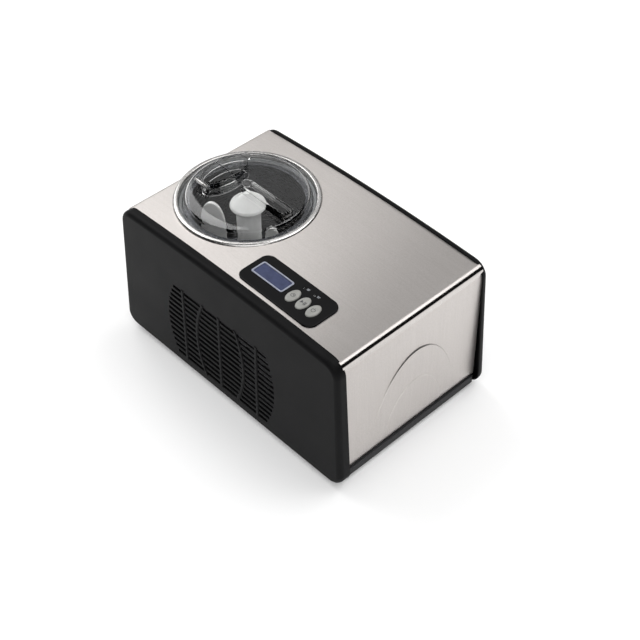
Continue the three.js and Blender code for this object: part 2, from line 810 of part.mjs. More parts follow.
function evaporatorCoil() {
  return pipe(new CoilPath(), coilRadius, 72, 5);
}

function insulation() {
  const lowZ = coverTopZ + clearance;
  const topZ = ledgeZ - ledgeThickness - wellWall - 2 * clearance;
  const floorTop = wellFloorZ - wellWall - clearance;
  const shaftHole = 9;
  const jacket = turned([
    [shaftHole, lowZ], [foamRadius, lowZ], [foamRadius, topZ], [foamInnerRadius, topZ],
    [foamInnerRadius, floorTop], [shaftHole, floorTop], [shaftHole, lowZ],
  ], hidden);
  const channel = coilRadius + 2 * clearance;
  const tails = [[coilLowZ, -1], [coilHighZ, 1]].map(([z, side]) => {
    const y = side * coilPathRadius;
    return block([0, foamRadius + 10], [y - channel, y + channel], [z - channel, z + channel]);
  });
  return cut(jacket, tails);
}

function bowl() {
  const inner = bowlRadius - bowlWall;
  const floorTop = bowlFloorZ + 1.2;
  const bore = chimneyRadius - 1.4;
  const topZ = bowlRimZ + bowlRimHeight;
  return turned([
    [bore, bowlFloorZ], [bowlRadius - bowlCorner, bowlFloorZ],
    [bowlRadius - 0.3 * bowlCorner, bowlFloorZ + 0.3 * bowlCorner],
    [bowlRadius, bowlFloorZ + bowlCorner], [bowlRadius, bowlRimZ], [bowlRimRadius, bowlRimZ],
    [bowlRimRadius, topZ - 1], [bowlRimRadius - 2, topZ], [inner + 1, topZ], [inner, topZ - 1],
    [inner, bowlFloorZ + bowlCorner + 1],
    [inner - 0.3 * bowlCorner, floorTop + 0.3 * bowlCorner], [inner - bowlCorner, floorTop],
    [chimneyRadius, floorTop], [chimneyRadius, chimneyTopZ], [bore, chimneyTopZ], [bore, bowlFloorZ],
  ]);
}

function hexagon(flats) {
  return circleSection(flats / Math.sqrt(3), 6);
}

// Outline of a blade finger in the upright plane through the axis: a web beside the column,
// then a finger with an egg-shaped top that stands clear of the column.
function bladeOutline(innerR, outerR, topZ, webRise) {
  const footZ = bowlFloorZ + paddleFootGap;
  const webZ = bowlFloorZ + webRise;
  const middle = (innerR + outerR) / 2;
  const half = (outerR - innerR) / 2;
  const shoulder = topZ - 2.1 * half;
  const shape = new THREE.Shape();
  shape.moveTo(columnRadius - 3, footZ);
  shape.lineTo(scraperRadius - 7, footZ);
  shape.quadraticCurveTo(scraperRadius, footZ, scraperRadius, footZ + 10);
  shape.quadraticCurveTo(outerR + 1, webZ - 8, outerR, webZ + 6);
  shape.lineTo(outerR, shoulder);
  shape.absellipse(middle, shoulder, half, topZ - shoulder, 0, Math.PI, false, 0);
  shape.lineTo(innerR, webZ + 12);
  shape.quadraticCurveTo(innerR, webZ, innerR - 6, webZ);
  shape.lineTo(columnRadius - 3, webZ);
  shape.closePath();
  return shape;
}

function blade(outline) {
  const steps = { curveSegments: 6 };
  return front(outline, -bladeThickness / 2, bladeThickness / 2, steps);
}

// The paddle in its own frame: the tall blade points to +X.
function paddle() {
  const bore = chimneyRadius + runningGap + 0.7;
  const roof = chimneyTopZ + 2;
  const footZ = bowlFloorZ + paddleFootGap;
  const column = turned([
    [bore, footZ], [columnRadius, footZ], [columnRadius, capRimZ - 7],
    [columnRadius + 2, capRimZ - 4], [capRadius - 1, capRimZ - 2], [capRadius, capRimZ],
    [capRadius - 1.2, capRimZ + 2.8], [15, capRimZ + 11], [5, capPeakZ - 2],
    [0, capPeakZ], [0, roof], [bore, roof], [bore, footZ],
  ], 24);
  const socket = plan(hexagon(hexFlats + 2 * clearance), roof, socketZ + hexLength + 1);
  const tall = blade(bladeOutline(33, 68, tallBladeTopZ, tallWebRise));
  const low = blade(bladeOutline(22, 42, lowBladeTopZ, lowWebRise));
  const opposite = toSolid(toGeometry(low).rotateZ(Math.PI));
  const hollow = post(bore, bowlFloorZ, roof, [0, 0], 24);
  const slit = block([5, 14], [-1.2, 1.2], [capRimZ + 9, capPeakZ]);
  return cut(join([column, tall, opposite]), [hollow, socket, slit]);
}

function driveShaft() {
  const stem = post(shaftRadius, shaftFootZ, socketZ + 1, [0, 0], coarse);
  return stem.add(plan(hexagon(hexFlats), socketZ, socketZ + hexLength));
}

// ---------------------------------------------------------------- lid

function lidSection() {
  const shoulder = lidRadius - lidRimInset - 2.5;
  const crest = lidTopZ + lidDomeRise;
  const flangeTop = lidBaseZ + lidFlangeHeight;
  const wallFoot = lidRadius - lidRimInset;
  return [
    [wallFoot - lidWall, lidBaseZ], [lidRadius, lidBaseZ], [lidRadius, flangeTop],
    [wallFoot, flangeTop], [shoulder, lidTopZ - 2], [shoulder - 2, lidTopZ], [0, crest],
    [0, crest - lidWall], [shoulder - 3, lidTopZ - lidWall], [shoulder - lidWall, lidTopZ - 4],
    [wallFoot - lidWall, lidBaseZ],
  ];
}

function gripOutline(inset) {
  const half = gripWidth / 2 - inset;
  return roundedOutline([
    [0, -half], [gripLength - inset, -half, 3], [gripLength - inset, half, 3], [0, half],
  ]);
}

function hingeEars() {
  const { y, z } = flapHinge;
  const inner = flapBarrelLength / 2 + clearance;
  return [-1, 1].map((side) => {
    const reach = [neckX + side * inner, neckX + side * (inner + 2.6)].sort((a, b) => a - b);
    const shape = roundedOutline([
      [-neckHalfLength + 4, neckTopZ - 10], [-neckHalfLength + 4, neckTopZ - 2],
      [-neckHalfLength + 1, neckTopZ - 2],
      [y + 2.8, z + 2.6, 1], [y - 2.8, z + 2.6, 2], [y - 2.8, z - 2.6, 1],
    ]);
    return toSolid(endGeometry(shape, reach[0], reach[1]));
  });
}

const flapHinge = { y: -neckHalfLength - 3.6, z: neckTopZ + clearance + flapThickness / 2 };

function alongX(radius, x0, x1, facets = small) {
  const geometry = new THREE.CylinderGeometry(radius, radius, x1 - x0, facets);
  const { y, z } = flapHinge;
  return toSolid(geometry.rotateZ(Math.PI / 2).translate((x0 + x1) / 2, y, z));
}

function lid() {
  const neck = plan(ellipse(neckHalfWidth, neckHalfLength, neckX), neckBottomZ, neckTopZ, round);
  const mouth = plan(ellipse(neckHalfWidth - lidWall, neckHalfLength - lidWall, neckX),
    neckBottomZ - 5, neckTopZ + 5, round);
  const grip = softPlan(gripOutline(0), lidTopZ, gripTopZ, 1.4, 2);
  const gripHollow = plan(gripOutline(lidWall), lidTopZ - 8, gripTopZ - lidWall);
  const boss = post(bossRadius, lidTopZ, gripTopZ + 1.5);
  const bossHollow = post(bossRadius - lidWall, lidTopZ - 8, gripTopZ - 0.7);
  const pinHole = alongX(flapPinRadius + clearance, neckX - 30, neckX + 30);
  const dome = turned(lidSection());
  return cut(join([dome, neck, grip, boss, ...hingeEars()]),
    [mouth, gripHollow, bossHollow, pinHole]);
}

function fillerFlap() {
  const { y, z } = flapHinge;
  const [lowZ, topZ] = [z - flapThickness / 2, z + flapThickness / 2];
  const plate = plan(ellipse(neckHalfWidth, neckHalfLength, neckX), lowZ, topZ, round);
  const tongue = block([neckX - 6, neckX + 6], [y, y + 12], [lowZ, topZ]);
  const lug = plan(rectangle(14, 12, 3, neckX, neckHalfLength), lowZ, topZ);
  const ribReach = [neckX - neckHalfWidth + 3, neckX + neckHalfWidth - 3];
  const rib = block(ribReach, [-1, 1], [topZ - 0.5, topZ + 1.6]);
  const half = flapBarrelLength / 2;
  const barrel = alongX(flapBarrelRadius, neckX - half, neckX + half, 16);
  const bore = alongX(flapPinRadius + clearance, neckX - 30, neckX + 30);
  return join([plate, tongue, lug, rib, barrel]).subtract(bore);
}

function flapPin() {
  const reach = flapBarrelLength / 2 + 4;
  return alongX(flapPinRadius, neckX - reach, neckX + reach);
}

function lidGasket() {
  const inner = lidRadius + clearance;
  const outer = collarHole - clearance - collarWall - clearance;
  const lowZ = ledgeZ + clearance;
  return turned([
    [inner, lowZ], [outer, lowZ], [outer, lowZ + 3.6], [outer - 1.2, lowZ + 4.6],
    [inner, lowZ + 4.6], [inner, lowZ],
  ]);
}

// ---------------------------------------------------------------- drive train

// A spur gear with straight-sided teeth, its first tooth centred on +X.
function gearOutline(teeth, boreRadius) {
  const pitch = (gearModule * teeth) / 2;
  const tip = pitch + 0.75 * gearModule;
  const root = pitch - 1.05 * gearModule;
  const step = (2 * Math.PI) / teeth;
  const points = [];
  for (let tooth = 0; tooth < teeth; tooth += 1) {
    for (const [radius, share] of [[root, -0.3], [tip, -0.12], [tip, 0.12], [root, 0.3]]) {
      const angle = (tooth + share) * step;
      points.push(new THREE.Vector2(radius * Math.cos(angle), radius * Math.sin(angle)));
    }
  }
  const shape = new THREE.Shape(points);
  if (boreRadius > 0) {
    const hole = new THREE.Path();
    hole.absarc(0, 0, boreRadius, 0, 2 * Math.PI, true);
    shape.holes.push(hole);
  }
  return shape;
}

function outputGear() {
  const bore = shaftRadius + clearance;
  const hub = ring(bore, 9, gearZ - 2, gearZ + gearFace + 2, coarse);
  const wheel = plan(gearOutline(outputTeeth, bore + 1), gearZ, gearZ + gearFace);
  return wheel.add(hub);
}

const idlerAxle = 3;

function idlerGear() {
  const wheel = plan(gearOutline(idlerTeeth, 0), gearZ, gearZ + gearFace);
  const axle = post(idlerAxle, shaftFootZ, gearboxTopZ + clearance + 1.5, [0, 0], small);
  return wheel.add(axle);
}

function motorPinion() {
  const wheel = plan(gearOutline(pinionTeeth, 0), gearZ, gearZ + gearFace);
  return wheel.add(post(2.5, shaftFootZ, coverTopZ + 12, [0, 0], small));
}

function gearboxOutline(grow) {
  const room = gearModule + 2;
  return beltOutline(bowlAxisX, outputRadius + room + grow, motorX, pinionRadius + 16 + grow);
}

function gearboxBase() {
  const steps = { curveSegments: 5 };
  const outer = plan(gearboxOutline(gearboxWall), gearboxZ, gearboxTopZ, steps);
  const inside = plan(gearboxOutline(0), gearboxZ + gearboxWall, gearboxTopZ + 5, steps);
  const seats = [[bowlAxisX, shaftRadius], [idlerX, idlerAxle], [motorX, 2.5]];
  const bosses = seats.map(([x, radius]) =>
    post(radius + 2.5, gearboxZ + 1, gearboxZ + gearboxWall + 1.6, [x, 0], small));
  const bores = seats.map(([x, radius]) =>
    post(radius + clearance, gearboxZ + gearboxWall, gearboxTopZ, [x, 0], small));
  return cut(join([outer.subtract(inside), ...bosses]), bores);
}

function gearboxLid() {
  const steps = { curveSegments: 5 };
  const lowZ = gearboxTopZ + clearance;
  const plate = plan(gearboxOutline(gearboxWall), lowZ, coverTopZ, steps);
  return cut(plate, [
    post(shaftRadius + runningGap, lowZ - 1, coverTopZ + 1, [bowlAxisX, 0], small),
    post(idlerAxle + clearance, lowZ - 1, lowZ + 1.5 + clearance, [idlerX, 0], small),
    post(8, lowZ - 1, coverTopZ + 1, [motorX, 0], small),
  ]);
}

function driveMotor() {
  const lowZ = coverTopZ + clearance;
  const topZ = lowZ + motorHeight;
  const bore = 2.5 + clearance;
  const can = turned([
    [bore, lowZ], [motorRadius, lowZ], [motorRadius, lowZ + 3], [motorRadius - 2, lowZ + 3],
    [motorRadius - 2, topZ - 8], [motorRadius - 6, topZ - 3], [8, topZ - 3], [8, topZ], [0, topZ],
    [0, lowZ + 14], [bore, lowZ + 14], [bore, lowZ],
  ], coarse);
  const tabs = [-1, 1].map((side) => box([3, 1, 8], [8 * side, 12, topZ]));
  return join([can, ...tabs]);
}

// ---------------------------------------------------------------- cold circuit

function compressor() {
  const r = compressorRadius;
  const lowZ = compressorZ;
  const topZ = lowZ + compressorHeight;
  const seamZ = lowZ + compressorHeight / 2;
  const shell = turned([
    [0, lowZ], [r - 14, lowZ], [r - 4, lowZ + 7], [r, lowZ + 18], [r, seamZ], [r + 2, seamZ + 1],
    [r + 2, seamZ + 6], [r, seamZ + 7], [r - 3, topZ - 24], [r - 18, topZ - 5], [0, topZ],
  ], 20).translate([compressorX, compressorY, 0]);
  const plateOutline = roundedOutline(mountSpots().map(([x, y]) =>
    [compressorX + (x - compressorX) * 1.35, compressorY + (y - compressorY) * 1.35, 8]));
  const plate = plan(plateOutline, lowZ, lowZ + 2.4);
  const holes = mountSpots().map((spot) => post(2.8 + runningGap, lowZ - 1, lowZ + 4, spot, small));
  const terminals = block([compressorX - 14, compressorX + 14],
    [compressorY - r - 5, compressorY - r + 12], [lowZ + 30, lowZ + 60]);
  return cut(join([shell, plate, terminals]), holes);
}

function compressorMount() {
  const lowZ = mountZ + clearance;
  const topZ = lowZ + mountHeight;
  const bore = 2.8 + clearance;
  return turned([
    [bore, lowZ], [9, lowZ], [9, lowZ + 3], [6.5, lowZ + 4.5], [9, lowZ + 6], [9, topZ], [bore, topZ],
    [bore, lowZ],
  ], small);
}

// The fan turns about Y; its blades are pitched plates on a hub.
function fan() {
  const [frontY, backY] = [shroudFrontY + 3, shroudFrontY + 15];
  const blades = Array.from({ length: fanBlades }, (_, i) => {
    const plate = roundedOutline([
      [9, -9], [fanRadius - 6, -15], [fanRadius - 1, -6], [fanRadius - 3, 8], [9, 7],
    ]);
    const geometry = extrusion(plate, 1.6).translate(0, 0, -0.8).rotateX(THREE.MathUtils.degToRad(28));
    geometry.rotateX(Math.PI / 2).rotateY((2 * Math.PI * i) / fanBlades);
    return toSolid(geometry.translate(fanX, (frontY + backY) / 2, fanZ));
  });
  const hub = rod(14, frontY, backY, [fanX, fanZ], 20);
  const shaft = rod(2, backY - 1, backY + 14, [fanX, fanZ], small);
  return join([hub, shaft, ...blades]);
}

function fanShroud() {
  const backY = shroudFrontY + shroudDepth;
  const square = front(rectangle(shroudSize, shroudSize, 8, fanX, fanZ), shroudFrontY, backY);
  const duct = rod(fanRadius + 2.5, shroudFrontY - 1, backY + 1, [fanX, fanZ], 36);
  const frame = square.subtract(duct);
  const spiderY = [backY - 2.2, backY];
  const arms = [45, 135].map((turn) => {
    const bar = new THREE.BoxGeometry(2 * fanRadius + 8, spiderY[1] - spiderY[0], 5);
    bar.rotateY(THREE.MathUtils.degToRad(turn));
    return toSolid(bar.translate(fanX, (spiderY[0] + spiderY[1]) / 2, fanZ));
  });
  const ringPlate = rod(17, spiderY[0], spiderY[1], [fanX, fanZ], 20);
  const foot = block([fanX - 30, fanX + 30], [shroudFrontY + 4, backY - 4],
    [floorZ + clearance, fanZ - shroudSize / 2 + 1]);
  const shaftHole = rod(5, shroudFrontY, backY + 1, [fanX, fanZ], small);
  return join([frame, ...arms, ringPlate, foot]).subtract(shaftHole);
}

function fanMotor() {
  const frontY = shroudFrontY + shroudDepth + clearance;
  const can = rod(15, frontY, frontY + 17, [fanX, fanZ], 20);
  return can.subtract(rod(2 + clearance, frontY - 1, frontY + 12, [fanX, fanZ], small));
}

// Upright fins on a core plate, between two upright side tanks.
function condenser() {
  const middleY = condenserBackY - condenserDepth / 2;
  const left = fanX - shroudSize / 2;
  const pitch = (shroudSize - 2 * sideTank) / (condenserFins + 1);
  const finX = Array.from({ length: condenserFins }, (_, fin) => left + sideTank + (fin + 1) * pitch);
  const comb = (x, side) => {
    const [near, far] = [middleY + side * 1.2, middleY + side * (condenserDepth / 2)];
    return [[1, near], [1, far], [-1, far], [-1, near]].map(([edge, y]) => [x + edge * side * finHalf, y]);
  };
  const core = [
    [left + sideTank / 2, middleY - 1.2], ...finX.flatMap((x) => comb(x, -1)),
    [left + shroudSize - sideTank / 2, middleY - 1.2], [left + shroudSize - sideTank / 2, middleY + 1.2],
    ...finX.toReversed().flatMap((x) => comb(x, 1)), [left + sideTank / 2, middleY + 1.2],
  ];
  const shape = new THREE.Shape(core.map((p) => new THREE.Vector2(...p)));
  const lowZ = floorZ + clearance;
  const topZ = fanZ + shroudSize / 2;
  const reachY = [middleY - condenserDepth / 2, middleY + condenserDepth / 2];
  const tanks = [left, left + shroudSize - sideTank].map((x) =>
    block([x, x + sideTank], reachY, [lowZ, topZ]));
  return join([plan(shape, lowZ, topZ), ...tanks]);
}

const headerY = condenserBackY - condenserDepth / 2;
const headerLeftX = fanX - shroudSize / 2 - clearance;
const headerRightX = fanX + shroudSize / 2 + clearance;
const headerLowZ = floorZ + clearance + 12;
const headerHighZ = fanZ + shroudSize / 2 - 8;
const drierX = headerLeftX - 18;
const drierY = headerY - 12;
const drierZ = headerLowZ + 18;

function filterDrier() {
  const top = drierZ + drierLength;
  return turned([
    [0, drierZ], [3, drierZ], [3, drierZ + 3], [drierRadius, drierZ + 8], [drierRadius, top - 8],
    [3, top - 3], [3, top], [0, top],
  ], 16).translate([drierX, drierY, 0]);
}

function dischargePipe() {
  const topZ = compressorZ + compressorHeight;
  return pipe(smoothPath([
    [compressorX - 10, compressorY - 8, topZ + clearance + 0.6],
    [compressorX - 11, compressorY - 12, topZ + 10],
    [compressorX - 14, compressorY - 40, topZ + 12],
    [headerRightX + 12, headerY + 22, topZ - 4],
    [headerRightX + 14, headerY + 2, headerHighZ + 7],
    [headerRightX + 7, headerY, headerHighZ],
    [headerRightX, headerY, headerHighZ],
  ]), pipeRadius, 22);
}

function liquidPipe() {
  return pipe(smoothPath([
    [headerLeftX, headerY, headerLowZ],
    [headerLeftX - 5, headerY, headerLowZ],
    [drierX + 3, drierY + 2, headerLowZ + 3],
    [drierX, drierY, drierZ - 6],
    [drierX, drierY, drierZ - clearance],
  ]), pipeRadius - 0.5, 14);
}

function capillaryTube() {
  const endX = bowlAxisX + coilTail + clearance;
  return pipe(smoothPath([
    [drierX, drierY, drierZ + drierLength + clearance],
    [drierX, drierY - 1, drierZ + drierLength + 7],
    [drierX - 10, (drierY - coilPathRadius) / 2, coilLowZ + 2],
    [endX + 7, -coilPathRadius, coilLowZ],
    [endX, -coilPathRadius, coilLowZ],
  ]), 1.6, 14);
}

function suctionPipe() {
  const topZ = compressorZ + compressorHeight;
  const startX = bowlAxisX + coilTail + clearance;
  return pipe(smoothPath([
    [startX, coilPathRadius, coilHighZ],
    [startX + 30, coilPathRadius + 1, coilHighZ],
    [compressorX - 50, compressorY + 28, coilHighZ - 4],
    [compressorX - 14, compressorY + 12, topZ + 12],
    [compressorX - 10, compressorY + 8, topZ + clearance + 0.6],
  ]), pipeRadius + 0.6, 24);
}

// ---------------------------------------------------------------- control panel

function bezelPrism(grow, z0, z1) {
  const [length, width] = [bezelLength + 2 * grow, bezelWidth + 2 * grow];
  const shape = rectangle(length, width, bezelCorner + grow, bezelX, bezelY);
  return plan(shape, z0, z1);
}

// A layer that follows the arched steel between two heights above it.
function layer(prism, low, high) {
  return prism.intersect(underSteel(high)).subtract(underSteel(low));
}

function slice(shape, low, high, options) {
  return layer(plan(shape, crownTopZ - 40, crownTopZ + 20, options), low, high);
}

function through(shape, options) {
  return plan(shape, crownTopZ - 40, crownTopZ + 20, options);
}

const underside = bezelProud - bezelPlate; // of the bezel's plate, measured from the steel

function bezelPosts() {
  const reachX = bezelLength / 2 - bezelWindowInset - 5.5;
  const reachY = bezelWidth / 2 - bezelWindowInset - 5;
  return [[-1, -1], [1, -1], [1, 1], [-1, 1]].map(([i, j]) => [bezelX + i * reachX, bezelY + j * reachY]);
}

function controlBezel() {
  const tall = (grow) => bezelPrism(grow, crownTopZ - 40, crownTopZ + 20);
  const flange = layer(tall(0), clearance, bezelProud);
  const plugGrow = -bezelWindowInset - clearance;
  const plug = layer(tall(plugGrow), -8, bezelProud).subtract(layer(tall(plugGrow - 2), -20, underside));
  const posts = bezelPosts().map((spot) =>
    post(3, boardTopZ + clearance, crownTopZ - 3, spot, small).intersect(underSteel(bezelProud - 1)));
  const holes = [
    through(rectangle(lcdLength + 2 * clearance, lcdWidth + 2 * clearance, 3, lcdX, lcdY)),
    ...buttonX.map((x) => through(ellipse(buttonHalfWidth + clearance, buttonHalfLength + clearance,
      x, buttonY), round)),
    ...ledX.map((x) => post(ledRadius + clearance, boardTopZ, crownTopZ + 20, [x, ledY], small)),
  ];
  return cut(join([flange, plug, ...posts]), holes);
}

function lcdFrameRing() {
  const outer = rectangle(lcdLength, lcdWidth, 3, lcdX, lcdY);
  const inner = rectangle(lcdLength - 2 * lcdFrame, lcdWidth - 2 * lcdFrame, 1.5, lcdX, lcdY);
  return slice(outer, underside, bezelProud).subtract(through(inner));
}

// The glass stands on a display block that reaches down to the board.
function lcdModule() {
  const inset = 2 * (lcdFrame + clearance);
  const glass = slice(rectangle(lcdLength - inset, lcdWidth - inset, 1.5, lcdX, lcdY),
    underside - 2, bezelProud - 0.6);
  const blockTop = slice(rectangle(lcdLength, lcdWidth, 0, lcdX, lcdY), -30, underside - clearance);
  const under = block([lcdX - 60, lcdX + 60], [lcdY - 30, lcdY + 30],
    [boardTopZ - 40, boardTopZ + clearance]);
  return glass.add(blockTop.subtract(under));
}

// A key in its own frame: the origin is on the bezel's surface at the key's centre.
function keySolid() {
  const capShape = ellipse(buttonHalfWidth, buttonHalfLength);
  const cap = softPlan(capShape, -bezelPlate - 3, buttonProud, 1.2, 1, round);
  const flangeTop = -bezelPlate - 0.8;
  const flangeShape = ellipse(buttonHalfWidth + 1.2, buttonHalfLength + 1.5);
  const flange = plan(flangeShape, flangeTop - 1.4, flangeTop, round);
  return cap.add(flange);
}

function keyHeight(x) {
  return crownZ(x) + bezelProud;
}

function keyStem(x) {
  return post(2.5, boardTopZ + buttonTravel + 0.5 - keyHeight(x), -bezelPlate - 2, [0, 0], small);
}

function statusLed(x) {
  const topZ = crownZ(x) + bezelProud;
  return post(ledRadius, boardTopZ + clearance, topZ + 0.2, [x, ledY], small);
}

function controlBoard() {
  const margin = bezelWindowInset + 3;
  const board = plan(rectangle(bezelLength - 2 * margin, bezelWidth - 2 * margin, 0, bezelX, bezelY),
    boardZ, boardTopZ);
  const parts = [
    block([lcdX - 22, lcdX + 4], [bezelY - 12, bezelY + 12], [boardZ - 14, boardZ + 0.5]),
    block([lcdX + 12, lcdX + 32], [bezelY - 10, bezelY + 8], [boardZ - 10, boardZ + 0.5]),
    post(6, boardZ - 16, boardZ + 0.5, [buttonX[1], bezelY], small),
  ];
  return join([board, ...parts]);
}

// ---------------------------------------------------------------- finishes

function finish(color, roughness, metalness) {
  return () => new THREE.MeshStandardMaterial({ color, roughness, metalness });
}

const blackPlastic = finish(0x232325, 0.42, 0);
const glossBlack = finish(0x0c0c0d, 0.12, 0);
const brushedSteel = finish(0xbdb8b4, 0.32, 1);
const polishedSteel = finish(0xc9c9cb, 0.12, 1);
const blackRubber = finish(0x161616, 0.85, 0);
const aluminium = finish(0xb4b6b8, 0.4, 1);
const copper = finish(0xb4703c, 0.35, 1);
const foam = finish(0x1d1d1e, 0.95, 0);
const whitePlastic = finish(0xe9e8e4, 0.4, 0);
const clearPlastic = finish(0xe4ebee, 0.08, 0);
const blackPaint = finish(0x1b1b1d, 0.5, 0.2);
const motorSteel = finish(0x9c9ea1, 0.45, 0.9);
const gearPlastic = finish(0xd9d4c4, 0.5, 0);
const greyPlastic = finish(0x4c4c50, 0.6, 0);
const boardGreen = finish(0x2f5d3a, 0.6, 0);
const lcdBlue = finish(0x474e6c, 0.15, 0);
const paleGrey = finish(0xbfc2cc, 0.4, 0);
const keyWhite = finish(0xdcdcd8, 0.35, 0);
const lampGlass = finish(0x6e7276, 0.25, 0);

// ---------------------------------------------------------------- assembly

function piece(parent, name, solid, material, place = [0, 0, 0]) {
  const mesh = new THREE.Mesh(toGeometry(solid), material());
  mesh.name = name;
  mesh.position.set(...place);
  parent.add(mesh);
  return mesh;
}

function subGroup(parent, place = [0, 0, 0]) {
  const group = new THREE.Group();
  group.position.set(...place);
  parent.add(group);
  return group;
}

const iceCreamMaker = new THREE.Group();

piece(iceCreamMaker, 'front_side_panel', frontPanel(), blackPlastic);
const rear = subGroup(iceCreamMaker);
rear.rotation.z = Math.PI;
piece(rear, 'rear_side_panel', rearPanel(), blackPlastic);
piece(rear, 'power_inlet', powerInlet(), blackPlastic);
piece(iceCreamMaker, 'steel_cover', steelCover(), brushedSteel);
piece(iceCreamMaker, 'base_tray', baseTray(), blackPlastic);
footSpots().forEach(([x, y], i) => {
  piece(iceCreamMaker, `foot_${i + 1}`, foot(), blackRubber, [x, y, 0]);
});

const station = subGroup(iceCreamMaker, [bowlAxisX, 0, 0]);
piece(station, 'bowl_collar', bowlCollar(), polishedSteel);
piece(station, 'cooling_well', coolingWell(), aluminium);
piece(station, 'shaft_bearing', shaftBearing(), gearPlastic);
piece(station, 'evaporator_coil', evaporatorCoil(), copper);
piece(station, 'insulation_jacket', insulation(), foam);
piece(station, 'removable_bowl', bowl(), polishedSteel);
const mixer = piece(station, 'paddle', paddle(), whitePlastic);
mixer.rotation.z = THREE.MathUtils.degToRad(bladeTurn);
const shaft = piece(station, 'drive_shaft', driveShaft(), polishedSteel);
shaft.rotation.z = mixer.rotation.z;
piece(station, 'output_gear', outputGear(), gearPlastic);
piece(station, 'lid', lid(), clearPlastic);
piece(station, 'filler_flap', fillerFlap(), clearPlastic);
piece(station, 'flap_pin', flapPin(), polishedSteel);
piece(station, 'lid_gasket', lidGasket(), blackRubber);

const idlerPhase = Math.PI / idlerTeeth;
const idler = piece(iceCreamMaker, 'idler_gear', idlerGear(), gearPlastic, [idlerX, 0, 0]);
idler.rotation.z = Math.PI + idlerPhase;
const pinionPhase = Math.PI / pinionTeeth;
const pinion = piece(iceCreamMaker, 'motor_pinion', motorPinion(), motorSteel, [motorX, 0, 0]);
pinion.rotation.z = Math.PI + pinionPhase * (idlerTeeth % 2 === 0 ? 0 : 1);
piece(iceCreamMaker, 'gearbox_base', gearboxBase(), greyPlastic);
piece(iceCreamMaker, 'gearbox_cover', gearboxLid(), greyPlastic);
piece(iceCreamMaker, 'drive_motor', driveMotor(), motorSteel, [motorX, 0, 0]);

piece(iceCreamMaker, 'compressor', compressor(), blackPaint);
mountSpots().forEach(([x, y], i) => {
  piece(iceCreamMaker, `compressor_mount_${i + 1}`, compressorMount(), blackRubber, [x, y, 0]);
});
piece(iceCreamMaker, 'condenser', condenser(), aluminium);
piece(iceCreamMaker, 'fan_shroud', fanShroud(), greyPlastic);
piece(iceCreamMaker, 'fan', fan(), greyPlastic);
piece(iceCreamMaker, 'fan_motor', fanMotor(), motorSteel);
piece(iceCreamMaker, 'filter_drier', filterDrier(), copper);
piece(iceCreamMaker, 'discharge_pipe', dischargePipe(), copper);
piece(iceCreamMaker, 'liquid_pipe', liquidPipe(), copper);
piece(iceCreamMaker, 'capillary_tube', capillaryTube(), copper);
piece(iceCreamMaker, 'suction_pipe', suctionPipe(), copper);

piece(iceCreamMaker, 'control_bezel', controlBezel(), glossBlack);
piece(iceCreamMaker, 'lcd_frame', lcdFrameRing(), paleGrey);
piece(iceCreamMaker, 'lcd_module', lcdModule(), lcdBlue);
buttonX.forEach((x, i) => {
  const names = ['timer_button', 'start_button', 'power_button'];
  const key = keySolid().add(keyStem(x));
  piece(iceCreamMaker, names[i], key, keyWhite, [x, buttonY, keyHeight(x)]);
});
ledX.forEach((x, i) => {
  piece(iceCreamMaker, `status_led_${i + 1}`, statusLed(x), lampGlass);
});
piece(iceCreamMaker, 'control_board', controlBoard(), boardGreen);

export default iceCreamMaker;
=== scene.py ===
# Ice cream maker with a built-in compressor: a brushed steel cover between two black side
# panels, a clear lid over the lift-out bowl, and a gloss black control panel.
# Pieces are modelled in millimetres, in the CAD frame, and brought to metres when finished.
import math

import bmesh
import bpy
from mathutils import Matrix, Vector


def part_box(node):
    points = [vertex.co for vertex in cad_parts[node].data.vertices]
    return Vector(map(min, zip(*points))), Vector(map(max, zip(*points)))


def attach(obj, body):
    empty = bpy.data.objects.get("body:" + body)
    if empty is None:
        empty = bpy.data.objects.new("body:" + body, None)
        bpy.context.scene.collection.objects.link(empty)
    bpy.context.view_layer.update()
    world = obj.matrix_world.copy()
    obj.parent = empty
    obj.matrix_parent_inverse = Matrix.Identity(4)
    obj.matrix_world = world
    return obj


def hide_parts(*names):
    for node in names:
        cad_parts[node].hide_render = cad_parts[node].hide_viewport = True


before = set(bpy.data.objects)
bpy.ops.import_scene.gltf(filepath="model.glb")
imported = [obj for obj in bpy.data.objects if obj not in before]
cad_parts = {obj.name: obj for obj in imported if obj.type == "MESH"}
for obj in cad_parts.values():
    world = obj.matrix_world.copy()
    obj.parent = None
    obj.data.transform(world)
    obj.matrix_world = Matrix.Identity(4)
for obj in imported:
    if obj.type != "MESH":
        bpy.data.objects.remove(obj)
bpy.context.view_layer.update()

# ---------------------------------------------------------------- places and sizes


def reach(node):
    """Lowest and highest corner of a CAD node, in millimetres."""
    return [1000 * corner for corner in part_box(node)]


def middle_of(node):
    """The middle of a CAD node's box, in millimetres."""
    low, high = reach(node)
    return (low + high) / 2


X, Y, Z = 0, 1, 2  # the axes: to the user's right, to the back, and up
STEEL_HALF = 202.4  # half the cover's length at its bends
CROWN_RISE = 6.0  # how far the top arches up along the length
CROWN_TOP = reach("steel_cover")[1].z
STEEL_FOOT = reach("steel_cover")[0].z
STEEL_CORNER = 212.8  # height of its top corners
STEEL_FLARE = 0.009  # how far each end spreads for each millimetre down
STEEL_SHEET = 0.9  # the sheet's thickness
BEND_LINES = range(-180, 181, 15)  # places along the length where a straight piece can arch
BOWL_HOLE = 96.6  # radius of the hole in the steel for the bowl
THROUGH_TOP = (190, 240)  # heights between which a cut goes right through the top
PANEL_HALF = 205.0  # half a side panel's length at its top corners
PANEL_FACE = -133.2  # the face's plane at its top corners
PANEL_BACK = reach("front_side_panel")[1].y
REAR_BACK = -reach("rear_side_panel")[0].y  # in the rear panel's own frame
PANEL_TOP = reach("front_side_panel")[1].z
